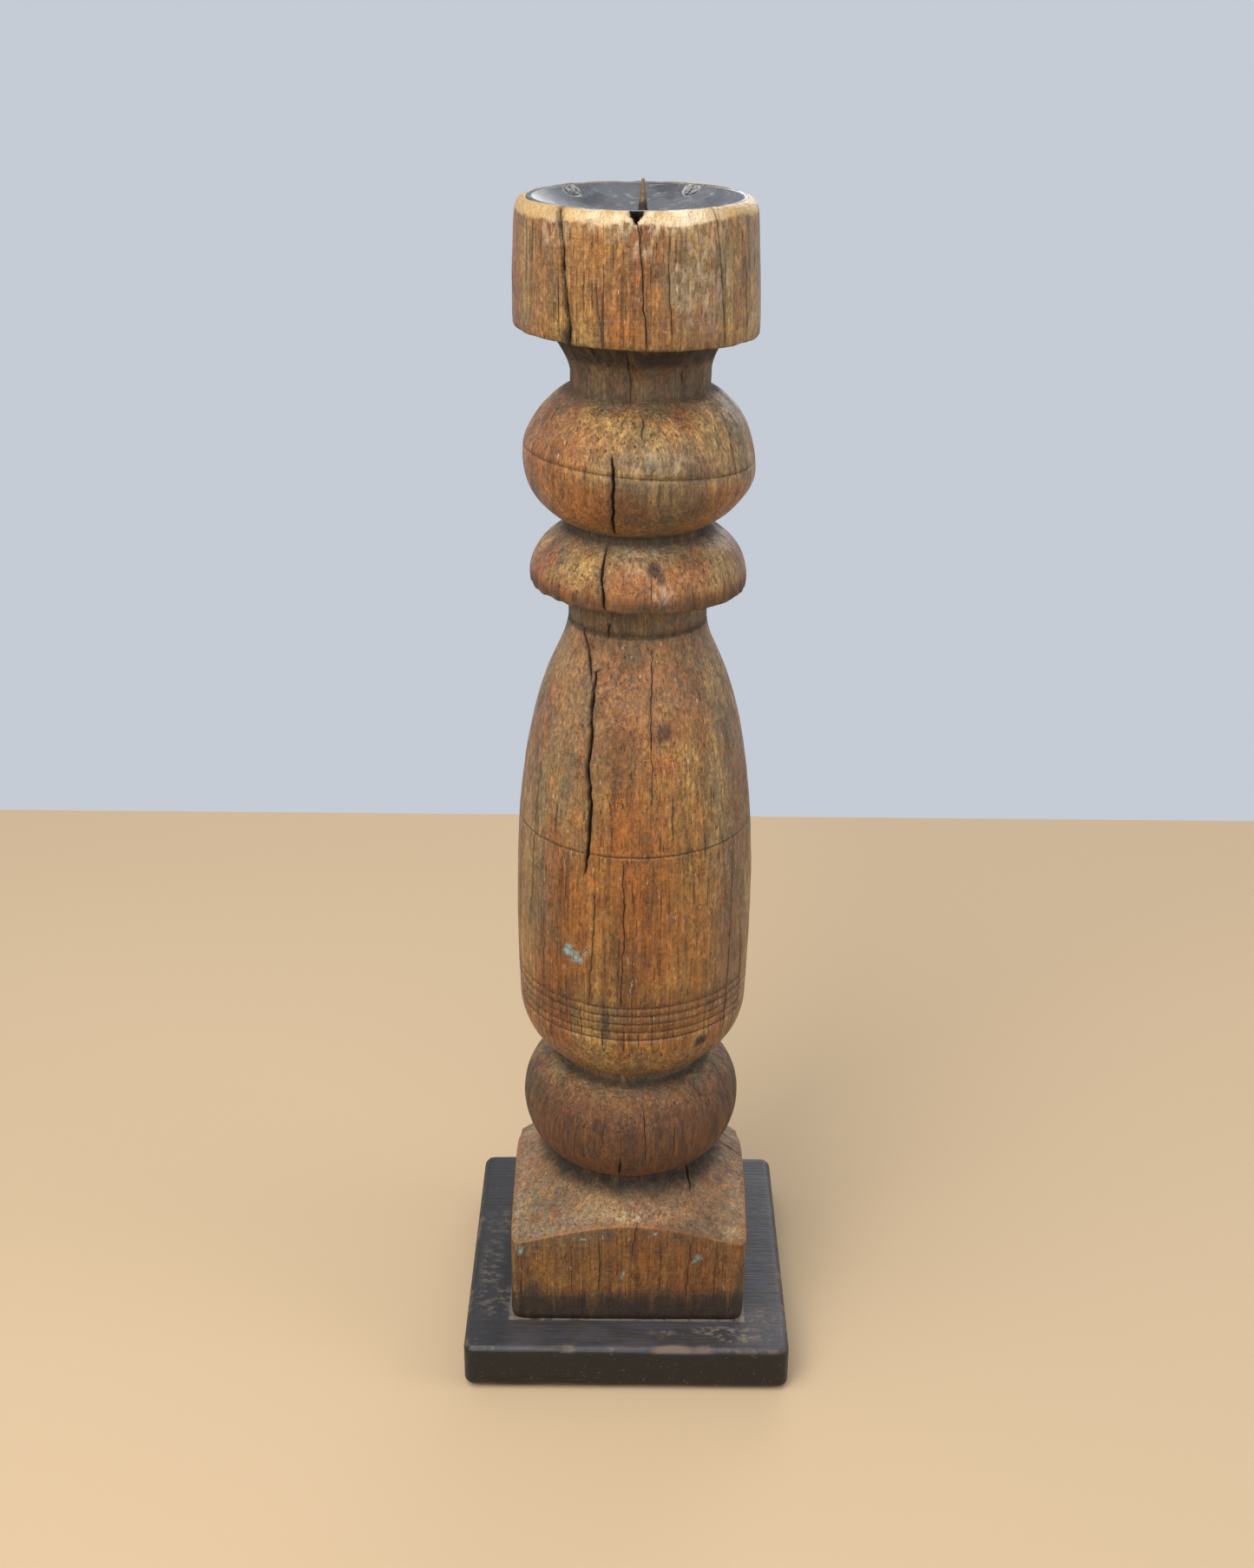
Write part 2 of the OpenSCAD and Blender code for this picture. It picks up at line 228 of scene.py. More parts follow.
class Finish:
    """A material under construction, with short calls for the nodes that it is made of."""

    def __init__(self, name):
        self.material = bpy.data.materials.new(name)
        self.material.use_nodes = True
        self.tree = self.material.node_tree
        self.shader = self.tree.nodes["Principled BSDF"]

    def plug(self, value, socket):
        """Feeds a socket from another node, or sets its own constant."""
        if isinstance(value, bpy.types.NodeSocket):
            self.tree.links.new(value, socket)
        elif isinstance(value, tuple) and len(value) == 3 and socket.type == "RGBA":
            socket.default_value = (*value, 1)
        else:
            socket.default_value = value

    def patches(self, scale, low, high, detail=3.0, shift=0.0):
        """Mask of soft patches: scale is how many per metre along X, Y and Z."""
        node = self.tree.nodes.new("ShaderNodeGroup")
        node.node_tree = PATCHES
        for name, value in (("Scale", scale), ("Low", low), ("High", high),
                            ("Detail", detail), ("Shift", shift)):
            node.inputs[name].default_value = value
        return node.outputs["Mask"]

    def painted(self, name):
        """One of the numbers stored on the mesh's own points."""
        node = self.tree.nodes.new("ShaderNodeAttribute")
        node.attribute_name = name
        return node.outputs["Fac"]

    def sums(self, operation, a, b, clamp=False):
        """One sum on two values, which clamp keeps between 0 and 1."""
        node = self.tree.nodes.new("ShaderNodeMath")
        node.operation = operation
        node.use_clamp = clamp
        self.plug(a, node.inputs[0])
        self.plug(b, node.inputs[1])
        return node.outputs[0]

    def over(self, below, above, mask, mode="MIX"):
        """Lays one colour over another where the mask is near 1."""
        node = self.tree.nodes.new("ShaderNodeMix")
        node.data_type = "RGBA"
        node.blend_type = mode
        node.clamp_factor = True
        self.plug(mask, node.inputs[0])
        self.plug(below, node.inputs[6])
        self.plug(above, node.inputs[7])
        return node.outputs[2]

    def times(self, a, b, clamp=False):
        """Weakens a mask by another mask or by a number."""
        return self.sums("MULTIPLY", a, b, clamp)

    def coat(self, below, above, mask, strength, mode="MIX"):
        """Lays one colour over another where the mask is near 1, weakened by a strength."""
        return self.over(below, above, self.times(mask, strength), mode)

    def axes(self):
        """Where a point of the piece lies, in metres along X, Y and Z."""
        where = self.tree.nodes.new("ShaderNodeTexCoord")
        split = self.tree.nodes.new("ShaderNodeSeparateXYZ")
        self.tree.links.new(where.outputs["Object"], split.inputs[0])
        return split.outputs

    def between(self, mask, low, high):
        """Spreads a mask over the range from low to high."""
        node = self.tree.nodes.new("ShaderNodeMapRange")
        self.plug(mask, node.inputs["Value"])
        node.inputs["To Min"].default_value = low
        node.inputs["To Max"].default_value = high
        return node.outputs["Result"]

    def relief(self, height, distance, strength=1.0):
        """Raises and sinks the surface by a mask, over a distance in metres."""
        node = self.tree.nodes.new("ShaderNodeBump")
        node.inputs["Distance"].default_value = distance
        node.inputs["Strength"].default_value = strength
        self.plug(height, node.inputs["Height"])
        self.tree.links.new(node.outputs["Normal"], self.shader.inputs["Normal"])


def finished_piece(name, work, material, body="root"):
    """Turns a bmesh into a smooth-shaded object that rides on a body."""
    mesh = bpy.data.meshes.new(name)
    work.to_mesh(mesh)
    work.free()
    mesh.materials.append(material)
    for face in mesh.polygons:
        face.use_smooth = True
    piece = bpy.data.objects.new(name, mesh)
    bpy.context.scene.collection.objects.link(piece)
    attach(piece, body)
    return piece


def spun(outline, steps, x=0.0, y=0.0):
    """A solid turned round an upright axis through x, y, from (radius, height) points."""
    work = bmesh.new()
    line = [work.verts.new((x + r, y, z)) for r, z in outline]
    for a, b in zip(line, line[1:]):
        work.edges.new((a, b))
    bmesh.ops.spin(work, geom=work.verts[:] + work.edges[:], axis=(0, 0, 1), cent=(x, y, 0),
                   angle=2 * math.pi, steps=steps, use_merge=True)
    bmesh.ops.remove_doubles(work, verts=work.verts[:], dist=1e-6)
    bmesh.ops.recalc_face_normals(work, faces=work.faces[:])
    return work


def paint(mesh, name, values):
    """Stores one number per vertex for a material to read."""
    layer = mesh.attributes.new(name, "FLOAT", "POINT")
    layer.data.foreach_set("value", np.asarray(values, dtype=np.float32))


def places(mesh):
    """The mesh's vertices as an array of x, y, z rows."""
    flat = np.empty(len(mesh.vertices) * 3)
    mesh.vertices.foreach_get("co", flat)
    return flat.reshape(-1, 3)


def smooth(value, low, high):
    """0 below low, 1 above high, and an even curve between."""
    t = np.clip((value - low) / (high - low), 0, 1)
    return t * t * (3 - 2 * t)


def board_paint():
    """Satin black brushed paint, scuffed, specked and rubbed through to the wood, its sides painted in
    shade.
    """
    f = Finish("worn_black_paint")
    colour = f.over(PAINT_BLACK, PAINT_VIOLET, f.patches((60, 90, 60), 0.42, 0.62))
    colour = f.over(colour, PAINT_BROWN, f.patches((120, 800, 900), 0.5, 0.62, 4.0))
    # Painted light and shade: the sides are painted in a deeper black than the top
    colour = f.over(PAINT_SHADED_SIDE, colour, f.painted("upper"))
    brush = f.patches((30, 1500, 1500), 0.3, 0.7, 4.0)
    scuff = f.times(f.painted("scuff"), f.patches((260, 420, 400), 0.48, 0.58, 5.0))
    specks = f.patches((700, 900, 900), 0.66, 0.72, 2.0, 7.0)
    rubbed = f.times(f.painted("edge"), f.patches((150, 150, 150), 0.5, 0.66, 4.0))
    colour = f.coat(colour, PALE_SCUFF, specks, 0.4)
    colour = f.coat(colour, PALE_SCUFF, scuff, 0.85)
    colour = f.coat(colour, BARE_WOOD, rubbed, 0.8)
    colour = f.over(colour, BARE_WOOD, f.painted("chip"))
    # Old glue and dust stand in a thin line round the foot of the plinth
    place = f.axes()
    aside = f.sums("MAXIMUM", f.sums("ABSOLUTE", place["X"], 0.0), f.sums("ABSOLUTE", place["Y"], 0.0))
    seam = f.times(f.sums("SUBTRACT", PLINTH_SIDE + 0.75 * MM, aside), 1 / (0.5 * MM), True)
    seam = f.times(seam, f.patches((260, 260, 100), 0.36, 0.52, 4.0, 9.0))
    colour = f.coat(colour, GLUE_LINE, seam, 0.7)
    f.plug(colour, f.shader.inputs["Base Color"])
    worn = f.sums("MAXIMUM", scuff, f.painted("chip"))
    f.plug(f.between(f.sums("ADD", worn, f.times(brush, 0.35)), 0.30, 0.72),
           f.shader.inputs["Roughness"])
    f.shader.inputs["Specular IOR Level"].default_value = 0.36
    height = f.sums("SUBTRACT", brush, f.times(worn, 1.5))
    f.relief(height, 0.12 * MM, 0.7)
    return f.material


board_low, board_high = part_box("base_board")
board = bmesh.new()
bmesh.ops.create_cube(board, size=1.0)
bmesh.ops.scale(board, vec=Vector(board_high) - Vector(board_low), verts=board.verts)
bmesh.ops.translate(board, vec=(Vector(board_high) + Vector(board_low)) / 2, verts=board.verts)
uprights = [e for e in board.edges if abs(e.verts[0].co.z - e.verts[1].co.z) > MM]
bmesh.ops.bevel(board, geom=uprights, offset=BOARD_CORNER, offset_type="OFFSET", segments=5,
                profile=0.5, affect="EDGES", material=-1)
rims = [e for e in board.edges
        if len(e.link_faces) == 2 and sum(abs(f.normal.z) > 0.9 for f in e.link_faces) == 1]
bmesh.ops.bevel(board, geom=rims, offset=BOARD_EDGE, offset_type="OFFSET", segments=5,
                profile=0.5, affect="EDGES", material=-1)
# Even cuts across the board both ways give its surfaces enough points to wear unevenly
for axis in (0, 1):
    for i in range(1, BOARD_CELLS):
        spot, way = [0, 0, 0], [0, 0, 0]
        spot[axis] = board_low[axis] + (board_high[axis] - board_low[axis]) * i / BOARD_CELLS
        way[axis] = 1
        bmesh.ops.bisect_plane(board, geom=board.verts[:] + board.edges[:] + board.faces[:],
                               dist=1e-7, plane_co=spot, plane_no=way)
for i in range(1, SIDE_CELLS):
    height = board_low[2] + BOARD_EDGE + (board_high[2] - board_low[2] - 2 * BOARD_EDGE) * i / SIDE_CELLS
    bmesh.ops.bisect_plane(board, geom=board.verts[:] + board.edges[:] + board.faces[:],
                           dist=1e-7, plane_co=(0, 0, height), plane_no=(0, 0, 1))
base_board = finished_piece("painted_base_board", board, board_paint())
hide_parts("base_board")

spots = places(base_board.data)
half = (board_high[0] - board_low[0]) / 2
middle_z = (board_high[2] + board_low[2]) / 2
thick = (board_high[2] - board_low[2]) / 2
outward = np.maximum(np.abs(spots[:, 0]), np.abs(spots[:, 1]))
near_side = smooth(outward, half - RUB_START, half - RUB_FULL)
near_top = smooth(np.abs(spots[:, 2] - middle_z), thick - RUB_START, thick - RUB_FULL)
edge = near_side * near_top
scuff = np.zeros(len(spots))
for (x, y), (a, b), strength in BOARD_SCUFFS:
    far = ((spots[:, 0] / MM - x) / a) ** 2 + ((spots[:, 1] / MM - y) / b) ** 2
    scuff = np.maximum(scuff, strength * smooth(-far, -1.6, -0.2))
scuff *= spots[:, 2] > middle_z
chip = np.zeros(len(spots))
for x, y, a, strength in BOARD_CHIPS:
    far = np.hypot((spots[:, 0] / MM - x) / a, (spots[:, 1] / MM - y) / 2.6)
    chip = np.maximum(chip, strength * smooth(-far, -1.0, -0.5))
chip *= spots[:, 2] > board_high[2] - 1.7 * MM
worn = np.array([noise.noise(Vector(p) * 90) for p in spots])
pull = (EDGE_WEAR * edge * (1 + worn) + CHIP_DEPTH * chip) * MM
wavy = np.array([noise.noise(Vector((p[0] * 25, p[1] * 25, 3.0))) for p in spots])
moved = spots.copy()
middle = np.array([0, 0, middle_z])
moved -= (spots - middle) / np.maximum(np.abs(spots - middle).max(axis=1), 1e-6)[:, None] * pull[:, None]
moved[:, 2] -= np.where(spots[:, 2] > board_high[2] - MM, TOP_WAVES * (1 + wavy), 0) * MM
base_board.data.vertices.foreach_set("co", moved.ravel())
paint(base_board.data, "edge", edge)
# Painted light: the top is painted lighter than the sides, which take painted shade, and its left strip
# is painted darker again
upper = smooth(spots[:, 2], board_high[2] - RUB_START, board_high[2] - RUB_FULL)
paint(base_board.data, "upper", upper * (1 - 0.7 * smooth(-spots[:, 0], 36 * MM, 44 * MM)))
paint(base_board.data, "scuff", scuff)
paint(base_board.data, "chip", chip * (0.75 + 0.5 * worn))

# ----------------------------------------
# Turned column: an old furniture leg in one piece of hardwood, screwed to the board from below.
# The square plinth is left as sawn, all above it is turned, with a bowl in the top for the dish.
# Drying cracks run along the grain, dust and painted shade lie in the hollows, the cup's rim is rubbed
# pale and painted with a highlight at the front.
# Shade is also painted under the cup and collar, on the lower ball, on the sawn faces and in the cracks.

COLUMNS = 288
ROW = 1.75
foot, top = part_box("turned_column")
BASE = foot[2] / MM
PLINTH_HALF = (foot[0] - top[0]) / -2 / MM
RIM = top[2] / MM

# Heights of the turned shapes, each counted up from the foot of the plinth, in millimetres
CORNER = BASE + 31.0
LOW_NECK = CORNER + 17.4
LOW_BALL = LOW_NECK + 2.4
WAIST = LOW_BALL + 35.2
FOOT = WAIST + 3.2
VASE = FOOT + 21.4
RING = VASE + 131.8
COLLAR = RING + 10.6
DOME = COLLAR + 2.6
QUIRK = DOME + 15.4
TOP_BALL = QUIRK + 2.0
EQUATOR = TOP_BALL + 17.4
NECK = EQUATOR + 22.8
FLARE = NECK + 4.2
CUP = FLARE + 12.3

# Radii of the same shapes
BLOCK_R = PLINTH_HALF * math.sqrt(2)
LOW_NECK_R, LOW_BALL_R, WAIST_R, VASE_R = 26.5, 36.8, 24.0, 37.8
RING_R, COLLAR_R, QUIRK_R, TOP_BALL_R = 21.4, 33.2, 22.0, 34.9
NECK_R, FLARE_R, CUP_R, CUP_TOP_R = 20.6, 26.5, 35.9, 35.0
RIM_ROUND, RIM_ROUND_H, LIP_ROUND = 3.0, 4.6, 1.2
SHOULDER_DIP = 1.8

# Lines that the lathe tool scribed: the five at the foot of the vase, with their pitch, depth and
# width, and the single ones with their height, depth and width
FOOT_LINES, FOOT_PITCH, FOOT_LINE = 5, 3.0, (0.45, 0.8)
VASE_LINE = (193.4, 0.4, 0.7)
RING_LINE = (RING - 0.6, 0.7, 1.2)
BALL_LINE = (EQUATOR + 3.6, 0.35, 0.7)
NECK_LINE = (NECK - 1.2, 0.25, 0.8)

# The bowl under the dish: radius, the depth and the drop of its dish, and the clearance
SEAT_R, SEAT_DEPTH, SEAT_DROP, SEAT_GAP = 31.6, 10.1, 0.3, 0.05


def swell(r_end, r_max, z, h, turn, steps=24):
    """Outline that widens from r_end at z to r_max at z + h, as part of an ellipse."""
    turn = math.radians(turn)
    a, b = (r_max - r_end) / (1 - math.cos(turn)), h / math.sin(turn)
    angles = [turn * (1 - i / steps) for i in range(steps + 1)]
    return [(r_max - a * (1 - math.cos(t)), z + h - b * math.sin(t)) for t in angles]


def shrink(r_max, r_end, z, h, turn, steps=24):
    """Outline that narrows from r_max at z to r_end at z + h."""
    return [(r, 2 * z + h - y) for r, y in reversed(swell(r_end, r_max, z, h, turn, steps))]


def sweep_line(p, m, n, q, steps=60):
    """Cubic curve from p to q with the handles m and n."""
    p, m, n, q = (np.array(v, dtype=float) for v in (p, m, n, q))
    ts = [i / steps for i in range(steps + 1)]
    return [tuple((1 - t) ** 3 * p + 3 * (1 - t) ** 2 * t * m + 3 * (1 - t) * t * t * n + t ** 3 * q)
            for t in ts]


def rows(points, spacing=ROW, lines=()):
    """Even steps along an outline, with scribed lines (height, depth, width) cut into it."""
    line = np.array(points, dtype=float)
    run = np.concatenate([[0], np.cumsum(np.hypot(*np.diff(line, axis=0).T))])
    at = list(np.linspace(0, run[-1], max(2, round(run[-1] / spacing) + 1)))
    middles = [(np.interp(z, line[:, 1], run), depth, width) for z, depth, width in lines]
    for middle, depth, width in middles:
        at = [s for s in at if abs(s - middle) > 0.6 * width]
        at += [middle - 0.5 * width, middle - 0.12 * width, middle + 0.12 * width, middle + 0.5 * width]
    at = np.array(sorted(at))
    r = np.interp(at, run, line[:, 0])
    z = np.interp(at, run, line[:, 1])
    cut = np.zeros_like(at)
    for middle, depth, width in middles:
        here = np.clip(1.3 - abs(at - middle) / (0.38 * width), 0, 1)
        r -= depth * here
        cut = np.maximum(cut, here)
    return [(float(a), float(b), float(c)) for a, b, c in zip(r, z, cut)]


foot_lines = [(VASE + FOOT_PITCH * (i + 0.05), *FOOT_LINE) for i in range(FOOT_LINES)]
shoulder_mid = ((BLOCK_R + LOW_NECK_R) / 2, (CORNER + LOW_NECK) / 2 - SHOULDER_DIP)
bowl_ball = (SEAT_R ** 2 + SEAT_DEPTH ** 2) / (2 * SEAT_DEPTH) + SEAT_GAP
bowl_middle = RIM - SEAT_DROP - SEAT_DEPTH + bowl_ball - SEAT_GAP
outline = [
    rows([(0, BASE), (36, BASE)], 12),
    rows([(BLOCK_R, BASE), (BLOCK_R, CORNER)], 2.4),
    rows(sweep_line((BLOCK_R, CORNER), shoulder_mid, shoulder_mid, (LOW_NECK_R, LOW_NECK)), 0.8),
    rows(swell(LOW_NECK_R, LOW_BALL_R, LOW_BALL, (WAIST - LOW_BALL) / 2, 75)),
    rows(shrink(LOW_BALL_R, WAIST_R, (WAIST + LOW_BALL) / 2, (WAIST - LOW_BALL) / 2, 85)),
    rows(swell(WAIST_R, VASE_R, FOOT, VASE - FOOT, 63)),
    rows(sweep_line((VASE_R, VASE), (VASE_R + 4.3, VASE + 0.86 * (RING - VASE)),
                    (RING_R + 0.6, RING - 0.12 * (RING - VASE)), (RING_R, RING)),
         ROW, foot_lines + [VASE_LINE, RING_LINE]),
    rows([(RING_R, RING), (RING_R + 0.1, RING + 4), (RING_R, COLLAR)]),
    rows([(RING_R, COLLAR), (COLLAR_R - 0.5, COLLAR)], 2.2),
    rows([(COLLAR_R - 0.1, COLLAR + 0.2), (COLLAR_R, COLLAR + 0.7), (COLLAR_R, DOME)], 0.9),
    rows(shrink(COLLAR_R, QUIRK_R, DOME, QUIRK - DOME, 60)),
    rows(swell(QUIRK_R, TOP_BALL_R, TOP_BALL, EQUATOR - TOP_BALL, 45)),
    rows(shrink(TOP_BALL_R, NECK_R, EQUATOR, NECK - EQUATOR, 63), ROW, [BALL_LINE, NECK_LINE]),
    rows(sweep_line((NECK_R, FLARE), (NECK_R, FLARE + 0.35 * (CUP - FLARE)),
                    (FLARE_R - 1.6, CUP - (CUP - FLARE) / 6), (FLARE_R, CUP)), 1.4),
    rows([(FLARE_R + 1, CUP), (CUP_R - LIP_ROUND - 0.4, CUP)], 2.2),
    rows(swell(CUP_R - LIP_ROUND, CUP_R, CUP, LIP_ROUND, 89), 0.6),
    rows([(CUP_R, CUP + LIP_ROUND + 2), (CUP_R - 0.1, CUP + 15), (CUP_TOP_R, RIM - RIM_ROUND_H)], 2.1),
    rows(shrink(CUP_TOP_R, CUP_TOP_R - RIM_ROUND, RIM - RIM_ROUND_H, RIM_ROUND_H, 89), 1.0),
    rows([(r, bowl_middle - math.sqrt(bowl_ball ** 2 - r * r)) for r in np.linspace(31.7, 0, 30)], 3.0),
]
profile = [p for part in outline for p in part]
SAME_POINT = 0.05
profile = [p for i, p in enumerate(profile)
           if i == 0 or math.dist(p[:2], profile[i - 1][:2]) > SAME_POINT]

lathe = bmesh.new()
number = lathe.verts.layers.int.new("row")
stock = [lathe.verts.new((r * MM, 0, z * MM)) for r, z, cut in profile]
for i, v in enumerate(stock):
    v[number] = i
for a, b in zip(stock, stock[1:]):
    lathe.edges.new((a, b))
bmesh.ops.spin(lathe, geom=lathe.verts[:] + lathe.edges[:], axis=(0, 0, 1), cent=(0, 0, 0),
               angle=2 * math.pi, steps=COLUMNS, use_merge=True)
bmesh.ops.remove_doubles(lathe, verts=[v for v in lathe.verts if v.co.xy.length < 1e-5], dist=1e-5)
bmesh.ops.recalc_face_normals(lathe, faces=lathe.faces[:])

# Drying cracks: the way each runs as (direction, height), its width and depth in millimetres.
# Directions are degrees counted from +X, so -90 faces the front.
CRACKS = [
    ([(-129, 392), (-128, 384), (-125, 376), (-123.5, 366), (-121.5, 353), (-121.5, 343)], 1.35, 6.0),
    ([(-90.5, 392), (-90, 383), (-88, 375), (-87, 362), (-85.5, 346)], 0.48, 1.5),
    ([(-52, 392), (-51.5, 384), (-50.5, 377), (-48, 358), (-46, 347)], 0.58, 2.0),
    ([(-32, 372), (-31, 362), (-29, 346)], 0.58, 1.6),
    ([(-144.5, 381), (-143, 372)], 0.38, 0.7),
    ([(-108, 366), (-105, 346)], 0.38, 0.8),
    ([(-76, 371), (-74, 347)], 0.33, 0.7),
    ([(-97.5, 346), (-98.5, 329)], 0.5, 1.0),
    ([(-55, 346), (-56.5, 340), (-54, 333)], 0.5, 1.0),
    ([(-131, 342), (-127.5, 337)], 0.44, 0.8),
    ([(-153, 330), (-151, 323), (-152, 317)], 0.44, 0.8),
    ([(-91, 329), (-88, 326), (-90, 323.5), (-87, 320)], 0.56, 1.0),
    ([(-104, 318), (-102, 309), (-103, 300), (-106, 292)], 0.62, 2.4),
    ([(-32, 327), (-37, 316), (-34, 302)], 0.5, 1.0),
    ([(-21, 311), (-17, 300)], 0.58, 1.4),
    ([(-113, 288), (-110, 281), (-107, 270.5)], 0.66, 2.6),
    ([(-37, 283), (-41, 270)], 0.58, 1.8),
    ([(-83, 282), (-83, 274)], 0.44, 0.8),
    ([(-112, 269), (-115, 258)], 0.6, 1.6),
    ([(-143, 260.5), (-131, 254), (-121.5, 246)], 0.8, 2.2),
    ([(-120, 249.5), (-118.5, 240), (-115.5, 230), (-115.5, 221), (-112.5, 209), (-113, 194),
      (-114, 187)], 1.05, 4.0),
    ([(-149, 218), (-148, 203), (-148.5, 175), (-150.5, 160)], 0.58, 1.4),
    ([(-127, 190), (-127.5, 170)], 0.4, 0.8),
    ([(-78.5, 256), (-81.5, 239), (-82, 218)], 0.43, 0.9),
    ([(-71, 214), (-72, 197)], 0.4, 0.8),
    ([(-48.5, 215), (-50, 200)], 0.38, 0.8),
    ([(-108.5, 186), (-109, 169), (-110.5, 153), (-111, 142)], 0.52, 1.0),
    ([(-95.5, 193), (-94.5, 167), (-96, 140)], 0.43, 0.9),
    ([(-138, 168), (-138.5, 150), (-141, 130)], 0.52, 1.2),
    ([(-35, 190), (-37, 156), (-37.5, 138), (-38.5, 122)], 0.58, 1.4),
    ([(-26, 160), (-24, 135)], 0.58, 1.4),
    ([(-115, 138), (-116, 124)], 0.45, 0.9),
    ([(-150, 102), (-156, 95), (-156, 86)], 0.56, 1.2),
    ([(-50, 103), (-45.5, 99), (-47.5, 92)], 0.5, 1.0),
    ([(-20, 102), (-25, 95)], 0.5, 1.0),
    ([(-83, 99), (-82, 80)], 0.43, 0.9),
    ([(-104, 97), (-105.5, 84)], 0.38, 0.8),
    ([(-66, 93), (-67.5, 77)], 0.4, 0.8),
    ([(-119, 91), (-122, 77)], 0.4, 0.8),
    ([(-95, 81), (-96.5, 71)], 0.75, 1.8),
    ([(-42, 67), (-47, 64), (-51, 61)], 0.8, 2.2),
    ([(-104, 51), (-103.5, 40), (-104, 28)], 0.45, 0.9),
    ([(-86, 58), (-87.5, 50), (-88.5, 43)], 0.43, 0.9),
    ([(-62, 53), (-63.5, 26)], 0.45, 0.9),
    ([(20, 63), (14, 56)], 0.6, 1.6),
    ([(4, 64), (0, 57)], 0.6, 1.6),
]

# The side that faces away has cracks of the same kind
chance = random.Random(11)
for low, high, count in ((350, 392, 4), (262, 268, 1), (272, 289, 2), (294, 328, 3), (128, 250, 9),
                         (72, 101, 3), (20, 50, 4)):
    for i in range(count):
        middle = 8 + 156 * (i + chance.uniform(0.25, 0.75)) / count
        a = chance.uniform(low, low + 0.35 * (high - low))
        b = chance.uniform(low + 0.6 * (high - low), high)
        drift = chance.uniform(-2.5, 2.5)
        width = chance.uniform(0.3, 0.75)
        CRACKS.append(([(middle + drift, b), (middle, (a + b) / 2), (middle - drift, a)],
                       width, 2.4 * width))

STEP = 360 / COLUMNS
ring_r = np.array([p[0] for p in profile])
ring_z = np.array([p[1] for p in profile])
runs_r = np.gradient(ring_r)
runs_z = np.gradient(ring_z)
length = np.maximum(np.hypot(runs_r, runs_z), 1e-6)
lean_r, lean_z = runs_z / length, -runs_r / length     # outward direction of each row
in_bowl = (ring_z > RIM - 12) & (lean_r < -0.1)
under = np.arange(len(profile)) < len(outline[0])

# Each crack owns one line of points, which follows its path; the lines beside it close up
# to the crack's lips, and all others spread evenly between. Past its ends a crack still draws
# its line for FADE millimetres, and PIN lines away nothing moves
direction = np.zeros((len(profile), COLUMNS))
opening = np.zeros((len(profile), COLUMNS))
LIPS = (-2, -1, 0, 1, 2)
CLEAR = 5
FADE = 8
PIN = 13
TAPER = 5
WIDE_CRACK = 0.6
for i, (r, z, cut) in enumerate(profile):
    taken, index, shift = [], [], []
    for path, width, depth in CRACKS:
        heights = [p[1] for p in path][::-1]
        ways = [p[0] for p in path][::-1]
        outside = max(heights[0] - z, z - heights[-1], 0)
        reach = float(1 - smooth(outside, 0, FADE))
        if reach <= 0:
            continue
        own = round(float(np.mean(ways)) / STEP)
        if any(min((own - k) % COLUMNS, (k - own) % COLUMNS) < CLEAR for k in taken):
            continue
        taken.append(own)
        r_here = max(min(r, PLINTH_HALF * 1.1), 8)
        ragged = 0.5 * noise.noise((own, z / 2.4, 1)) + 0.45 * noise.noise((own, z / 7, 2))
        gape = width * (0.85 + 0.7 * noise.noise((own, z / 3.5, 3)))
        way = float(np.interp(z, heights, ways)) + math.degrees(ragged / r_here)
        inside = min(z - heights[0], heights[-1] - z)
        taper = float(np.clip(inside / TAPER, 0, 1)) ** 0.5
        for j in LIPS:
            aside = np.sign(j) * (0.5 * gape * max(taper, 0.3) + (abs(j) == 2) * 0.3)
            target = way + math.degrees(aside / r_here)
            index.append((own + j) % COLUMNS)
            shift.append(((target - (own + j) * STEP + 180) % 360 - 180) * reach)
        if inside > 0 and not in_bowl[i] and not under[i]:
            opening[i, own % COLUMNS] = depth * taper
            if width >= WIDE_CRACK:
                opening[i, (own - 1) % COLUMNS] = 0.4 * depth * taper
                opening[i, (own + 1) % COLUMNS] = 0.4 * depth * taper
    pins = [k + side * PIN for k in taken for side in (-1, 1)]
    for pin in pins:
        if all(min((pin - k) % COLUMNS, (k - pin) % COLUMNS) > CLEAR + 1 for k in taken):
            index.append(pin % COLUMNS)
            shift.append(0.0)
    drift = np.interp(np.arange(COLUMNS), index, shift, period=COLUMNS) if index else 0
    direction[i] = np.arange(COLUMNS) * STEP + drift
angle = np.radians(direction)

# The plinth: the turned outline meets a slightly pillowed square with softened arrises
SQUARE = 22
SOFT = 0.6
FAR_DROP = 6.5
square_r = PLINTH_HALF / (abs(np.cos(angle)) ** SQUARE + abs(np.sin(angle)) ** SQUARE) ** (1 / SQUARE)
turned_r = np.repeat(ring_r[:, None], COLUMNS, axis=1)
height = np.repeat(ring_z[:, None], COLUMNS, axis=1)
# The lathe has cut the far corners lower than the near ones
behind = smooth(np.minimum(turned_r, square_r) * np.sin(angle), 4, 36)
shoulder_line = np.array(outline[2])
dropped = np.interp(height + FAR_DROP * behind, shoulder_line[:, 1], shoulder_line[:, 0])
on_shoulder = (height > CORNER - 10) & (height < LOW_NECK) & (turned_r > 27)
fade = smooth(turned_r, 30, 42)
turned_r = np.where(on_shoulder, turned_r * (1 - fade) + np.minimum(dropped, turned_r) * fade, turned_r)
mix = np.clip(0.5 + 0.5 * (square_r - turned_r) / SOFT, 0, 1)
radius = square_r * (1 - mix) + turned_r * mix - SOFT * mix * (1 - mix)
out_r = lean_r[:, None] * mix + (1 - mix)
out_z = lean_z[:, None] * mix
bottom_edge = 1 - smooth(height, BASE, BASE + 1.6)
radius -= 0.5 * bottom_edge * (radius > 38)

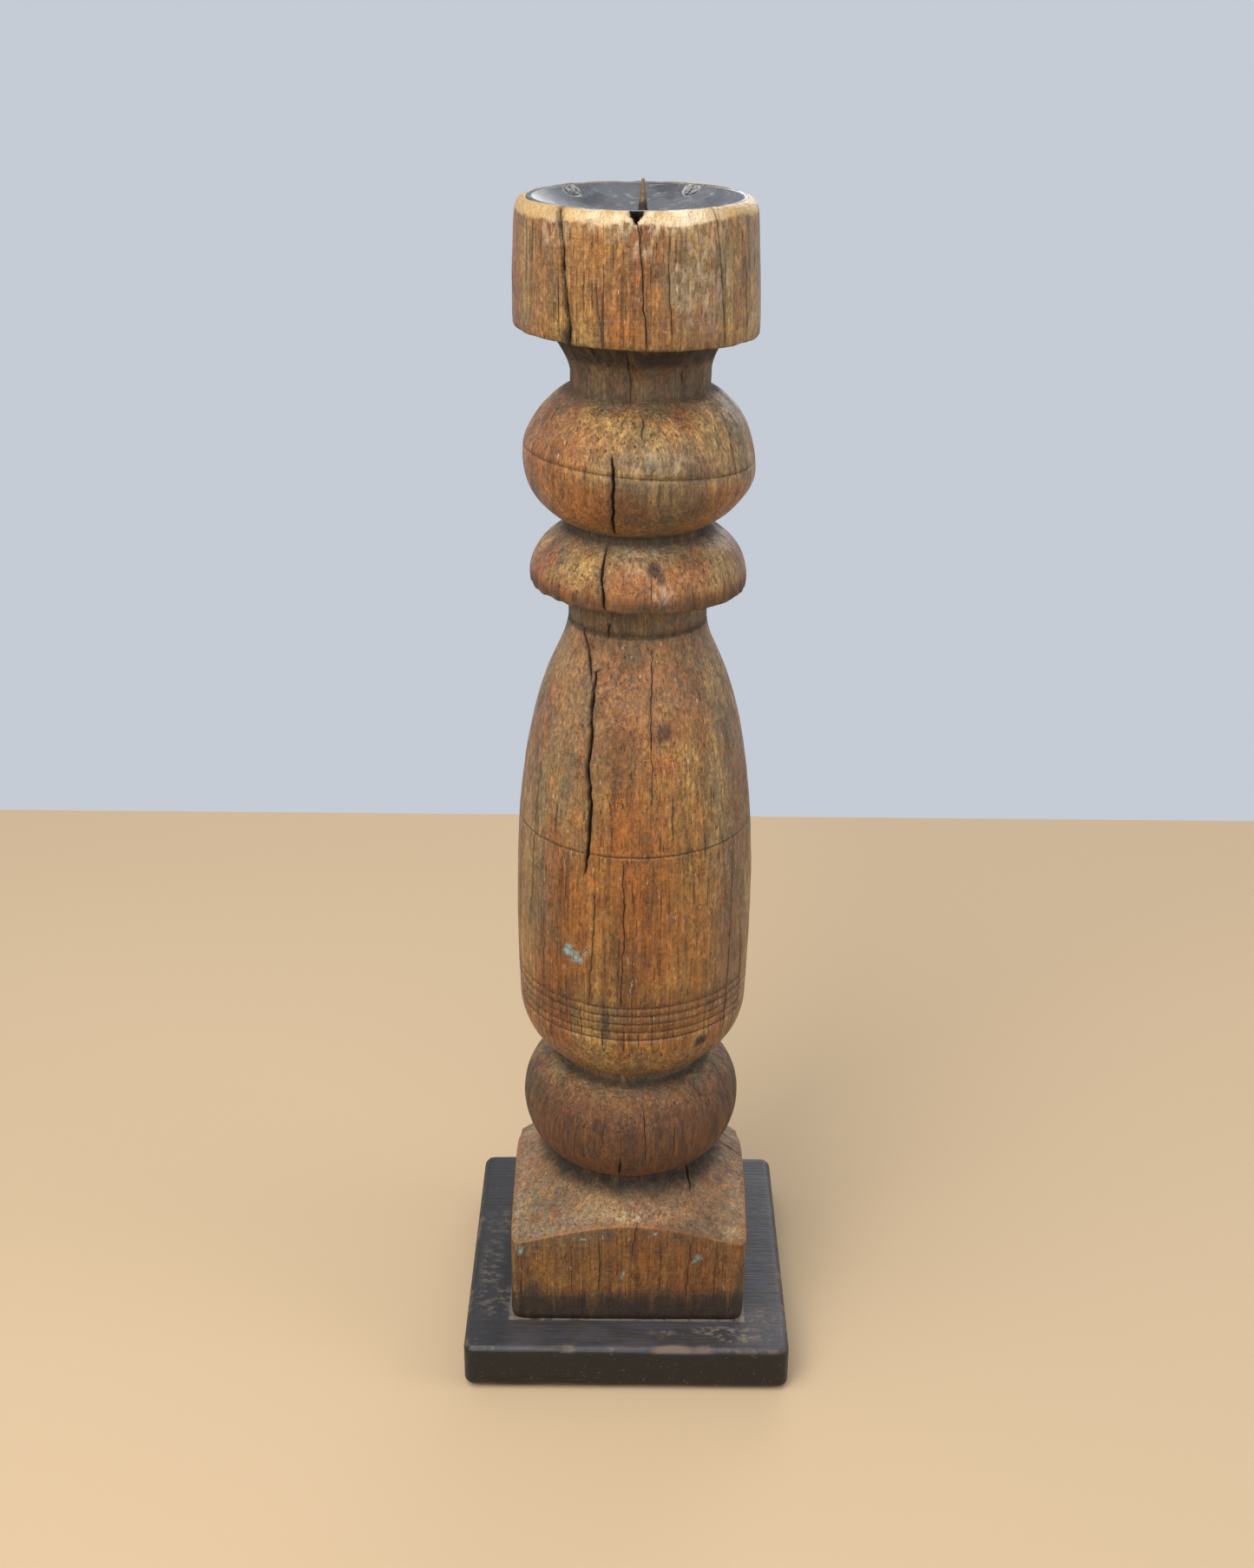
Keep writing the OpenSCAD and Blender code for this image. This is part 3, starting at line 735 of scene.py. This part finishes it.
# Unevenness of old wood, slightly out of round, ridged along the grain and dented: how far it
# goes in and out, how wide and how long its swells are, and where in the noise it is taken
UNEVEN = ((0.30, 30, 45, 5), (0.10, 3.2, 40, 0), (0.10, 7, 7, 20))
hand = noise.noise
push = np.zeros_like(radius)
for i in range(len(profile)):
    if in_bowl[i] or under[i]:
        continue
    z = ring_z[i]
    for k in range(COLUMNS):
        x, y = math.cos(angle[i, k]) * radius[i, k], math.sin(angle[i, k]) * radius[i, k]
        push[i, k] = sum(deep * hand((x / wide, y / wide, z / tall + start))
                         for deep, wide, tall, start in UNEVEN)
# Edges that hands have rounded: the height of each, how far the wear reaches, and its depth
WORN = ((COLLAR + 0.6, 1.6, 0.55), (CUP + 0.5, 1.4, 0.3), (RIM - 1.5, 3.0, 0.35))
worn_edges = np.zeros_like(radius)
for level, reach, amount in WORN:
    near = np.exp(-((ring_z - level) / reach) ** 2) * (ring_r > 30) * ~in_bowl
    worn_edges += near[:, None] * amount
for i in np.nonzero(worn_edges.max(axis=1) > 0.02)[0]:
    for k in range(COLUMNS):
        bite = hand((math.cos(angle[i, k]) * 9, math.sin(angle[i, k]) * 9, ring_z[i] / 9))
        worn_edges[i, k] *= 0.5 + max(bite, -0.3)
push -= worn_edges
push -= opening
# A chip has broken out of the rim where the front crack meets it
CHIP_HALF, CHIP_TALL, CHIP_DEEP, CHIP_WAY = 1.9, 3.6, 2.6, 270
chip_wide = CHIP_HALF * smooth(ring_z, RIM - CHIP_TALL, RIM - 0.4)[:, None] + 1e-6
chip_near = np.abs(direction - CHIP_WAY) * math.pi / 180 * radius
chipped = (1 - smooth(chip_near, 0.6 * chip_wide, chip_wide)) * (chip_wide > 0.2) * (radius > 29)
push -= CHIP_DEEP * chipped

# How far the turned shapes sit off the board's middle at each height, and how the cup's lip, the
# collar and the line on the upper ball slope: the height of each, how far it reaches, its slope
LEAN_AT = [BASE, LOW_NECK, WAIST, RING, EQUATOR, FLARE, CUP, RIM]
LEAN_BY = [0.2, 0.6, 0.9, 1.3, 1.2, 1.5, 0.1, -0.4]
SLOPES = ((CUP, 9, 0.034), (COLLAR, 7, 0.016), (BALL_LINE[0], 7, 0.065))
aside = np.interp(ring_z, LEAN_AT, LEAN_BY)
slope = sum(np.exp(-((ring_z - level) / reach) ** 2) * tilt for level, reach, tilt in SLOPES)

out = np.stack([radius * np.cos(angle), radius * np.sin(angle), height], axis=2)
out[:, :, 0] += push * out_r * np.cos(angle) + aside[:, None]
out[:, :, 1] += push * out_r * np.sin(angle)
out[:, :, 2] += push * out_z - slope[:, None] * radius * np.cos(angle)

row_of = np.array([v[number] for v in lathe.verts])
column_of = np.array([round(math.degrees(math.atan2(v.co.y, v.co.x)) / STEP) % COLUMNS
                      for v in lathe.verts])
for v, i, k in zip(lathe.verts, row_of, column_of):
    if v.co.xy.length > 1e-5:
        v.co = Vector(out[i, k]) * MM

# Dust, stains, varnish left over, rubbed places and flecks of old paint. Each mark is its
# direction in degrees, its height, half width and half height in millimetres, and its strength,
# which the flecks don't have. A half width of 400 goes all the way round
# Dust marks in the necks under the cup and collar stand in partly for painted shade
DUST_AND_SHADE_MARKS = [
    (0, 340, 400, 7, 0.8), (0, 332, 400, 3, 0.7), (0, 290, 400, 3.5, 0.9), (0, 264, 400, 7, 0.95),
    (0, 250, 400, 14, 0.45), (0, 105, 400, 4, 0.8), (0, 65, 400, 4, 0.7), (-100, 60, 26, 5, 0.5),
    (-140, 56, 30, 8, 0.85), (-50, 57, 22, 7, 0.5), (-60, 362, 11, 13, 0.65), (-155, 366, 14, 18, 0.12),
    (-78, 300, 16, 6, 0.55), (-70, 312, 26, 8, 0.4), (-125, 220, 10, 26, 0.5),
    (-150, 200, 12, 50, 0.55), (-28, 180, 14, 62, 0.7), (-90, 117, 50, 5, 0.35), (30, 210, 20, 40, 0.5),
    (90, 180, 20, 60, 0.5), (150, 230, 18, 26, 0.5), (60, 310, 20, 10, 0.5), (120, 300, 16, 10, 0.6),
    (90, 56, 60, 8, 0.5), (0, 86, 10, 12, 0.5),
]
# Painted shade in the grooves, in the necks under the cup and collar and on the lower ball, and stains
# in spots; the colour is darker towards the foot
SHADE_AND_STAIN_MARKS = [
    (0, 343, 400, 3.6, 0.85), (0, 338, 400, 9, 0.42), (-68, 343, 6, 3, 1.0),
    (-122.5, 349.5, 1.6, 1.8, 1.0), (0, 331, 400, 1.4, 0.6), (0, 289.6, 400, 1.6, 0.8),
    (0, 260, 400, 1.4, 0.6), (0, 84, 400, 15, 0.68), (0, 104.5, 400, 1.6, 0.7), (0, 67, 400, 4.0, 0.85),
    (0, 265, 400, 5, 0.3), (0, 272, 400, 3.0, 0.6), (-74, 232, 2.4, 3, 0.6), (-81, 283, 2, 2, 0.9),
    (-78, 280.5, 1.2, 1.6, 0.7), (-84, 316, 9, 2.4, 0.4), (-62, 313, 10, 2, 0.4),
    (-80, 303, 18, 8, 0.45), (-85, 138, 32, 8, 0.35), (0, 18, 400, 11.5, 1.0), (-128, 24, 9, 9, 0.7),
    (-52, 24, 8, 7, 0.7), (-45, 32, 3, 14, 0.5), (-135, 34, 3, 14, 0.6), (-58, 45, 14, 6, 0.4),
    (-53, 124, 2.5, 2, 1.0), (-100, 224, 6, 10, 0.4), (-95, 152, 9, 12, 0.3), (20, 240, 8, 10, 0.5),
    (110, 140, 10, 14, 0.5), (70, 70, 20, 5, 0.5), (-62, 54, 12, 3, 0.4),
]
GLOW = [
    (0, 272.5, 400, 3.2, 0.6), (-74, 222, 4, 4, 1.0), (-90, 176, 26, 34, 0.5), (-70, 150, 16, 26, 0.6),
    (-92, 216, 16, 34, 0.5), (-80, 240, 12, 16, 0.6), (-92, 84, 40, 15, 1.0), (-108, 301, 14, 7, 0.9),
    (-78, 354, 14, 6, 0.5), (-90, 38, 40, 22, 0.5), (-112, 368, 12, 14, 0.35), (-88, 370, 12, 12, 0.3),
    (-84, 278, 14, 7, 0.8), (-40, 300, 12, 8, 0.7), (-130, 318, 12, 8, 0.5), (-140, 240, 8, 30, 0.3),
    (40, 150, 20, 40, 0.6), (130, 170, 20, 50, 0.6), (60, 86, 30, 9, 0.6), (180, 60, 20, 10, 0.5),
    (80, 300, 20, 10, 0.7), (110, 365, 20, 14, 0.6),
]
# Rubbed places, and painted highlights at the front of the rim, the front of the shoulder and the upper
# ball
PALE_AND_HIGHLIGHT_MARKS = [
    (-90, 58.6, 6, 1.4, 0.55), (-60, 366, 9, 12, 0.32), (-112, 312.7, 26, 0.45, 0.75),
    (-92, 285, 10, 3.5, 0.25), (-82, 316, 9, 3, 0.45), (-90, 380, 16, 2, 0.4), (-84, 382.5, 19, 3, 0.8),
    (-128, 378, 5, 4, 0.5), (-87, 377, 3, 5, 0.6), (-52, 378, 4, 4, 0.4), (100, 285, 12, 4, 0.4),
    (-78, 276, 4, 3, 0.5), (90, 59, 8, 2, 0.4), (100, 378, 30, 3, 0.5),
]
FLECKS = [
    (-122.5, 158.5, 1.9, 1.3), (-119, 157.2, 1.6, 1.4), (-116, 156, 1.2, 1.1), (-112.5, 160, 0.9, 1.2),
    (-132, 45.5, 0.6, 1.8), (-111, 51.5, 0.6, 0.6), (-93, 36.5, 0.5, 0.8), (-59.5, 43.5, 0.8, 0.5),
    (-66.5, 47, 0.5, 0.6), (-77.5, 54, 0.6, 0.6), (70, 180, 1.6, 1.4), (75, 176, 1.0, 1.0),
]


def marked(marks, soft=1.0):
    """How strongly each point of the surface lies in any of the marks."""
    strongest = np.zeros_like(radius)
    for way, level, wide, tall, strength in marks:
        turn = (direction - way + 180) % 360 - 180
        far = (np.radians(turn) * radius / wide) ** 2 + ((height - level) / tall) ** 2
        strongest = np.maximum(strongest, strength * smooth(-far, -1 - soft, -1 + 0.8 * soft))
    return strongest


# Where the turned shoulder meets the sawn faces the arris is rubbed and carries a painted highlight,
# with dust lying above it, and the sawn faces below take painted shade
meeting = square_r - dropped
shoulder_zone = (height > CORNER - 9) & (height < LOW_NECK - 1)
arris_highlight = np.exp(-((meeting + 0.3) / 0.8) ** 2) * shoulder_zone
dusty_shoulder = smooth(meeting, 0.3, 2.0) * (1 - smooth(meeting, 5, 12)) * shoulder_zone
sawn_face_shade = (1 - smooth(meeting, -1.2, -0.3)) * (height < LOW_NECK)
crack_line = np.maximum(np.clip(opening / 0.6, 0, 1), chipped)
beside = np.maximum(np.roll(crack_line, 1, axis=1), np.roll(crack_line, -1, axis=1))
beside = np.maximum(beside, 0.6 * np.maximum(np.roll(beside, 1, axis=1), np.roll(beside, -1, axis=1)))
# The rim's pale band, "band", fades away towards the back
hand_marks = {
    "crack_shade_and_dirt": crack_line,
    "lip": beside,
    "dust_and_painted_shade": np.maximum(marked(DUST_AND_SHADE_MARKS), 0.4 * dusty_shoulder),
    # Painted shade in the scribed lines and on the sawn faces joins the shade and stain marks
    "painted_shade_and_stain": np.maximum(np.maximum(marked(SHADE_AND_STAIN_MARKS), 0.45 * np.array([p[2] for p in profile])[:, None]),
                       0.36 * sawn_face_shade),
    "glow": marked(GLOW),
    "rubbed_and_painted_highlight": np.maximum(marked(PALE_AND_HIGHLIGHT_MARKS), 0.16 * smooth(dusty_shoulder, 0.4, 1)),
    "arris_highlight": arris_highlight,
    "band": 1 - 0.85 * smooth(np.sin(angle), 0.1, 0.6),
    "fleck": marked([(*spot, 1.0) for spot in FLECKS], 0.5),
}

HONEY = (0.65, 0.385, 0.112)
AMBER = (0.42, 0.143, 0.027)
UMBER = (0.095, 0.044, 0.015)
DUST_AND_SHADE_GREY = (0.235, 0.182, 0.112)
GOLD = (0.47, 0.28, 0.088)
CREAM = (0.80, 0.64, 0.42)
SOOT_AND_SHADE = (0.020, 0.013, 0.009)
TURQUOISE = (0.19, 0.40, 0.41)
OLIVE = (0.21, 0.150, 0.060)
ARRIS_HIGHLIGHT = (0.36, 0.145, 0.040)
EMBER = (0.50, 0.155, 0.022)
RIM_BAND = 3.7 * MM


def old_wood():
    """Hardwood with old wax and varnish: warm ground, grain, dust, stains, rim band, cracks, painted
    shade and highlights.
    """
    f = Finish("old_waxed_hardwood")
    # The ground goes from honey to amber, most where varnish is left, with dull olive patches
    colour = f.over(HONEY, AMBER, f.patches((55, 55, 9), 0.38, 0.64))
    warm = f.patches((150, 150, 40), 0.1, 0.5)
    colour = f.coat(colour, AMBER, f.painted("glow"), warm)
    flames = f.patches((210, 210, 34), 0.5, 0.66, 5.0, 51.0)
    colour = f.coat(colour, AMBER, flames, 0.45)
    stained = f.sums("SUBTRACT", 0.75, f.painted("glow"), True)
    olive = f.patches((120, 120, 50), 0.48, 0.64, 6.0, 37.0)
    colour = f.coat(colour, OLIVE, olive, stained)
    # The grain runs up the column: broad streaks, fibres, pores and fine dark threads
    streaks = f.patches((420, 420, 8), 0.46, 0.68, 4.0)
    colour = f.coat(colour, UMBER, streaks, 0.5)
    mottle = f.patches((190, 190, 110), 0.44, 0.66, 5.0, 4.0)
    colour = f.coat(colour, UMBER, mottle, 0.36)
    fibres = f.patches((1300, 1300, 45), 0.36, 0.66, 4.0)
    colour = f.coat(colour, (0.34, 0.31, 0.29), fibres, 0.56, "MULTIPLY")
    pores = f.patches((1500, 1500, 150), 0.60, 0.70, 2.0, 9.0)
    colour = f.coat(colour, UMBER, pores, 0.75)
    threads = f.patches((900, 900, 13), 0.655, 0.69, 2.0, 3.0)
    colour = f.coat(colour, SOOT_AND_SHADE, threads, 0.85)
    # Dust lies as a film in the hollows, where the same film also paints in the shade under the cup and
    # collar, and dust lies as grains everywhere
    film = f.times(f.painted("dust_and_painted_shade"), f.patches((260, 260, 160), 0.3, 0.58, 6.0, 2.0))
    colour = f.coat(colour, DUST_AND_SHADE_GREY, film, 0.85)
    grains = f.patches((800, 800, 500), 0.62, 0.70, 3.0, 12.0)
    colour = f.coat(colour, DUST_AND_SHADE_GREY, grains, 0.5)
    grit = f.patches((1000, 1000, 700), 0.36, 0.62, 3.0, 14.0)
    colour = f.coat(colour, (0.5, 0.46, 0.42), grit, 0.7, "MULTIPLY")
    pitted = f.patches((430, 430, 260), 0.40, 0.66, 6.0, 61.0)
    colour = f.coat(colour, (0.42, 0.36, 0.32), pitted, 0.42, "MULTIPLY")
    # Varnish glows where it is left, the most handled places are rubbed pale, and highlights are painted
    # at the front of the rim, the shoulder and the upper ball
    varnish = f.times(f.painted("glow"), f.patches((200, 200, 70), 0.38, 0.62, 5.0, 71.0))
    colour = f.coat(colour, EMBER, varnish, 0.32)
    bright = f.patches((900, 900, 240), 0.66, 0.72, 3.0, 31.0)
    colour = f.coat(colour, CREAM, bright, 0.4)
    rubbed = f.times(f.painted("rubbed_and_painted_highlight"), f.patches((620, 620, 260), 0.42, 0.62, 5.0, 6.0))
    colour = f.coat(colour, CREAM, rubbed, 0.8)
    # A painted highlight along the shoulder's rubbed arris
    line = f.times(f.painted("arris_highlight"), f.patches((500, 500, 500), 0.25, 0.5, 4.0, 13.0))
    colour = f.coat(colour, ARRIS_HIGHLIGHT, line, 0.75)
    # The pale band round the rim has an uneven lower edge, scalloped by years of handling
    wavy = f.times(f.patches((75, 75, 40), 0.25, 0.75, 6.0, 17.0), 2.6 * MM)
    level = f.sums("SUBTRACT", f.sums("ADD", f.axes()["Z"], wavy), top[2] - RIM_BAND + 1.1 * MM)
    band = f.times(level, 1 / (0.7 * MM), True)
    # The band turns cream where rubbed and where a highlight is painted at its front
    creamy = f.times(f.sums("ADD", f.painted("rubbed_and_painted_highlight"), 0.12), 1.2, True)
    worn = f.coat(GOLD, CREAM, f.patches((110, 110, 60), 0.30, 0.6, 4.0, 23.0), creamy)
    worn = f.coat(worn, HONEY, f.patches((600, 600, 90), 0.5, 0.66, 3.0, 5.0), 0.5)
    colour = f.coat(colour, worn, f.times(band, f.painted("band")), 0.93)
    # Painted shade and stains darken the grooves, the necks under the cup and collar, the lower ball and
    # the sawn faces, the colour grows darker towards the foot, and each crack is lined with painted
    # shade and dirt
    streaky = f.between(f.patches((380, 380, 55), 0.36, 0.62, 5.0, 8.0), 0.75, 1.0)
    shade_and_stain = f.times(f.times(f.painted("painted_shade_and_stain"), streaky), 1.2, True)
    colour = f.coat(colour, SOOT_AND_SHADE, shade_and_stain, 0.93)
    near = f.times(f.painted("lip"), f.patches((300, 300, 60), 0.3, 0.6))
    colour = f.coat(colour, UMBER, near, 0.55)
    # Each crack and the chip in the rim are painted near black inside, as painted shade and dirt
    colour = f.coat(colour, SOOT_AND_SHADE, f.painted("crack_shade_and_dirt"), 0.97)
    chips = f.times(f.painted("fleck"), f.patches((1300, 1300, 900), 0.42, 0.50, 3.0))
    colour = f.over(colour, TURQUOISE, chips)
    f.plug(colour, f.shader.inputs["Base Color"])
    # Dusty places and those painted with shade and stains are dull, the rest has a low shine of wax
    dull = f.sums("ADD", f.times(film, 0.5), f.times(mottle, 0.35))
    dull = f.sums("ADD", dull, f.times(shade_and_stain, 0.8), True)
    f.plug(f.between(dull, 0.33, 0.85), f.shader.inputs["Roughness"])
    # Fibres, pores, threads and pits lie below the surface, and faint turning marks go round it
    height = f.sums("SUBTRACT", f.times(fibres, -0.7), f.times(pores, 1.0))
    height = f.sums("SUBTRACT", height, f.times(threads, 1.6))
    height = f.sums("ADD", height, f.times(f.patches((500, 500, 60), 0.3, 0.7, 4.0), 0.8))
    turning = f.patches((70, 70, 1500), 0.3, 0.7, 3.0, 41.0)
    height = f.sums("ADD", height, f.times(turning, 0.2))
    height = f.sums("SUBTRACT", height, f.times(pitted, 0.9))
    f.relief(height, 0.28 * MM, 0.9)
    return f.material


column = finished_piece("turned_leg_column", lathe, old_wood())
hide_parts("turned_column")
for mark, values in hand_marks.items():
    paint(column.data, mark, values[row_of, column_of])

# ----------------------------------------
# Drip dish: thin sheet steel beaten into a shallow bowl, let in just below the cup's rim and
# held by four screws. It is dull blue-grey, with fine scratches and pale specks of old wax.

dish_low, dish_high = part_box("drip_dish")
DISH_RIM = dish_high[2]
DISH_R = (dish_high[0] - dish_low[0]) / 2
DISH_DEPTH = DISH_RIM - dish_low[2]
DISH_SHEET = 0.9 * MM
DISH_BALL = (DISH_R ** 2 + DISH_DEPTH ** 2) / (2 * DISH_DEPTH)
DISH_STEEL = (0.165, 0.168, 0.178)
DISH_DARK = (0.085, 0.088, 0.096)
WAX_SPECK = (0.42, 0.41, 0.38)
DISH_SCREW_INSET = 3.4 * MM
DISH_SCREW_TURNS = (56, 133, 226, 315)
DISH_SCREW_HEAD = 2.15 * MM
DISH_RINGS = 64
DISH_STEPS = 256
DISH_BEATEN = 0.10 * MM
DISH_DRAWN = 0.35 * MM
DRAWN_EDGE = 0.6 * MM
BRIGHT_OUT = 0.15 * MM
BRIGHT_HALF = 0.27 * MM


def dish_steel():
    """Dull sheet steel with a film of old wax, fine scratches and bright rings at the screws."""
    f = Finish("dull_sheet_steel")
    colour = f.over(DISH_STEEL, DISH_DARK, f.patches((70, 70, 70), 0.4, 0.65, 5.0))
    film = f.patches((380, 380, 380), 0.55, 0.72, 5.0, 3.0)
    colour = f.coat(colour, WAX_SPECK, film, 0.5)
    specks = f.patches((1500, 1500, 1500), 0.68, 0.74, 2.0, 8.0)
    colour = f.over(colour, WAX_SPECK, specks)
    scratches = f.patches((90, 1400, 600), 0.60, 0.68, 3.0, 5.0)
    colour = f.coat(colour, WAX_SPECK, scratches, 0.35)
    colour = f.coat(colour, (0.70, 0.68, 0.62), f.painted("bright"), 0.9)
    f.plug(colour, f.shader.inputs["Base Color"])
    f.plug(f.between(film, 0.38, 0.62), f.shader.inputs["Roughness"])
    f.shader.inputs["Metallic"].default_value = 0.65
    f.relief(f.sums("SUBTRACT", film, scratches), 0.08 * MM, 0.5)
    return f.material


ball_middle = DISH_RIM - DISH_DEPTH + DISH_BALL
inner_ball = DISH_BALL - DISH_SHEET
inner_r = math.sqrt(inner_ball ** 2 - (ball_middle - DISH_RIM) ** 2)
steps = [i / DISH_RINGS for i in range(DISH_RINGS + 1)]
inside = [(inner_r * t, ball_middle - math.sqrt(inner_ball ** 2 - (inner_r * t) ** 2)) for t in steps]
outside = [(DISH_R * t, ball_middle - math.sqrt(DISH_BALL ** 2 - (DISH_R * t) ** 2))
           for t in reversed(steps)]
dish = spun(inside + outside, DISH_STEPS)
# The sheet is drawn down a little under each screw head, which leaves a bright ring
screw_places = [Vector((math.cos(math.radians(a)), math.sin(math.radians(a))))
                * (DISH_R - DISH_SCREW_INSET) for a in DISH_SCREW_TURNS]
ring_marks = []
for v in dish.verts:
    flat = v.co.xy.length / DISH_R
    v.co.z += DISH_BEATEN * noise.noise(v.co * 160) * (1 - flat ** 4)
    near = min((v.co.xy - place).length for place in screw_places)
    inner = (v.co - Vector((0, 0, ball_middle))).length < inner_ball + 0.3 * DISH_SHEET
    if inner and near < DISH_SCREW_HEAD + DRAWN_EDGE:
        v.co.z -= DISH_DRAWN * float(1 - smooth(near, DISH_SCREW_HEAD, DISH_SCREW_HEAD + DRAWN_EDGE))
    ragged = 0.55 + 0.9 * noise.noise(v.co * 400)
    ring = math.exp(-((near - DISH_SCREW_HEAD - BRIGHT_OUT) / BRIGHT_HALF) ** 2)
    ring_marks.append(max(0.0, min(1.0, ring * ragged * 1.6)))
drip_dish = finished_piece("beaten_drip_dish", dish, dish_steel())
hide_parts("drip_dish")
paint(drip_dish.data, "bright", ring_marks)

# ----------------------------------------
# Pricket: a forged nail pushed up through the dish just right of its middle, its head held
# underneath. It is rusty and rough below, and rubbed brighter towards the blunt tip.

spike_low, spike_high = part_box("pricket")
SPIKE_HEAD_R = (spike_high[0] - spike_low[0]) / 2
SPIKE_ASIDE = (spike_high[0] + spike_low[0]) / 2
SPIKE_HEAD = 1.2 * MM
SPIKE_R = 1.6 * MM
SPIKE_TIP_R = 0.5 * MM
SPIKE_STRAIGHT = 5.2 * MM
RUBBED_FROM, RUBBED_FULL = 7.5 * MM, 5 * MM
SHANK_STEPS = 24
SHANK_SIDES = 28
RUST = (0.066, 0.039, 0.023)
BLACK_IRON = (0.035, 0.030, 0.026)
BRIGHT_RUST = (0.21, 0.138, 0.076)


def rusty_iron():
    """Black forged iron with rust in patches, rubbed brighter near the tip."""
    f = Finish("rusty_iron")
    colour = f.over(BLACK_IRON, RUST, f.patches((500, 500, 350), 0.4, 0.6, 4.0))
    colour = f.over(colour, BRIGHT_RUST, f.painted("rubbed"))
    colour = f.over(colour, BLACK_IRON, f.patches((1400, 1400, 700), 0.6, 0.7, 3.0, 4.0))
    f.plug(colour, f.shader.inputs["Base Color"])
    f.plug(f.between(f.patches((900, 900, 900), 0.4, 0.7), 0.45, 0.8), f.shader.inputs["Roughness"])
    f.shader.inputs["Metallic"].default_value = 0.55
    f.relief(f.patches((1600, 1600, 900), 0.3, 0.7, 4.0), 0.15 * MM, 0.8)
    return f.material


shank = [(0, spike_low[2]), (SPIKE_HEAD_R * 0.9, spike_low[2]), (SPIKE_HEAD_R, spike_low[2] + 0.3 * MM),
         (SPIKE_HEAD_R * 0.95, spike_low[2] + SPIKE_HEAD), (SPIKE_R, spike_low[2] + SPIKE_HEAD)]
straight = spike_low[2] + SPIKE_HEAD + SPIKE_STRAIGHT
shank_foot = shank[-1][1]
for i in range(1, SHANK_STEPS + 1):
    z = shank_foot + (spike_high[2] - SPIKE_TIP_R - shank_foot) * i / SHANK_STEPS
    along = max(0.0, (z - straight) / (spike_high[2] - SPIKE_TIP_R - straight))
    shank.append((SPIKE_R + (SPIKE_TIP_R - SPIKE_R) * along ** 0.8, z))
shank += [(0.35 * MM, spike_high[2] - 0.15 * MM), (0, spike_high[2])]
nail = spun(shank, SHANK_SIDES)
for v in nail.verts:
    if spike_low[2] + SPIKE_HEAD + MM < v.co.z < spike_high[2] - 0.1 * MM:
        flat = 1 + 0.08 * math.cos(4 * math.atan2(v.co.y, v.co.x))     # hammered four-square
        rough = 1 + 0.12 * noise.noise(v.co * 900)
        stout = 1.12 - 0.2 * float(smooth(v.co.z, straight - 2 * MM, straight + 1 * MM))
        v.co.x *= flat * rough * stout
        v.co.y *= flat * rough * stout
bmesh.ops.translate(nail, vec=(SPIKE_ASIDE, 0, 0), verts=nail.verts)
pricket = finished_piece("forged_pricket", nail, rusty_iron())
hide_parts("pricket")
heights = places(pricket.data)[:, 2]
paint(pricket.data, "rubbed", smooth(heights, spike_high[2] - RUBBED_FROM, spike_high[2] - RUBBED_FULL))

# ----------------------------------------
# Screws: four small slotted screws hold the dish, two larger ones with a cross recess come up
# through the board into the plinth. All are plated steel gone dull, with dirt in patches.

SCREW_STEEL = (0.42, 0.41, 0.38)
SCREW_DIRT = (0.10, 0.085, 0.07)


def dull_plating():
    """Plated steel gone dull, with dirt in patches."""
    f = Finish("dull_plated_steel")
    colour = f.over(SCREW_STEEL, SCREW_DIRT, f.patches((700, 700, 700), 0.45, 0.65, 4.0))
    f.plug(colour, f.shader.inputs["Base Color"])
    f.plug(f.between(f.patches((900, 900, 900), 0.4, 0.7, 4.0, 2.0), 0.3, 0.6),
           f.shader.inputs["Roughness"])
    f.shader.inputs["Metallic"].default_value = 0.85
    f.relief(f.patches((2400, 2400, 2400), 0.4, 0.7), 0.05 * MM, 0.5)
    return f.material


plating = dull_plating()
for name in ("dish_screws", "base_screws"):
    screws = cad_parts[name]
    for place in screws.material_slots:
        place.material = plating

# ----------------------------------------
# Felt pads: four discs of pressed charcoal felt, glued under the board's corners, their edges
# slightly swollen where the felt was punched out.

FELT = (0.050, 0.046, 0.042)
FELT_FLUFF = (0.115, 0.105, 0.095)
PAD_STEPS = 48


def pressed_felt():
    """Charcoal felt, dull all over, with paler fluff."""
    f = Finish("pressed_felt")
    fluff = f.patches((2200, 2200, 2200), 0.4, 0.65, 5.0)
    colour = f.over(FELT, FELT_FLUFF, fluff)
    f.plug(colour, f.shader.inputs["Base Color"])
    f.plug(f.between(fluff, 0.9, 1.0), f.shader.inputs["Roughness"])
    f.relief(fluff, 0.2 * MM, 0.8)
    return f.material


felt = pressed_felt()
for side in ("front_left", "front_right", "back_left", "back_right"):
    pad_low, pad_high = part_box("felt_pad_" + side)
    pad_r = (pad_high[0] - pad_low[0]) / 2
    middle = (Vector(pad_low) + Vector(pad_high)) / 2
    rise = pad_high[2] - pad_low[2]
    disc = [(0, pad_low[2]), (pad_r * 0.5, pad_low[2]), (pad_r * 0.94, pad_low[2]),
            (pad_r * 0.985, pad_low[2] + 0.15 * rise), (pad_r, pad_low[2] + 0.45 * rise),
            (pad_r * 0.985, pad_low[2] + 0.85 * rise), (pad_r * 0.96, pad_high[2]), (0, pad_high[2])]
    pad = spun(disc, PAD_STEPS, middle.x, middle.y)
    piece = finished_piece("felt_foot_" + side, pad, felt)
    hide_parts("felt_pad_" + side)

# ----------------------------------------
# Sizes: the box round the CAD model and the box round the finished one are found, each as its lowest and
# highest corner in metres.

low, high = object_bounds()
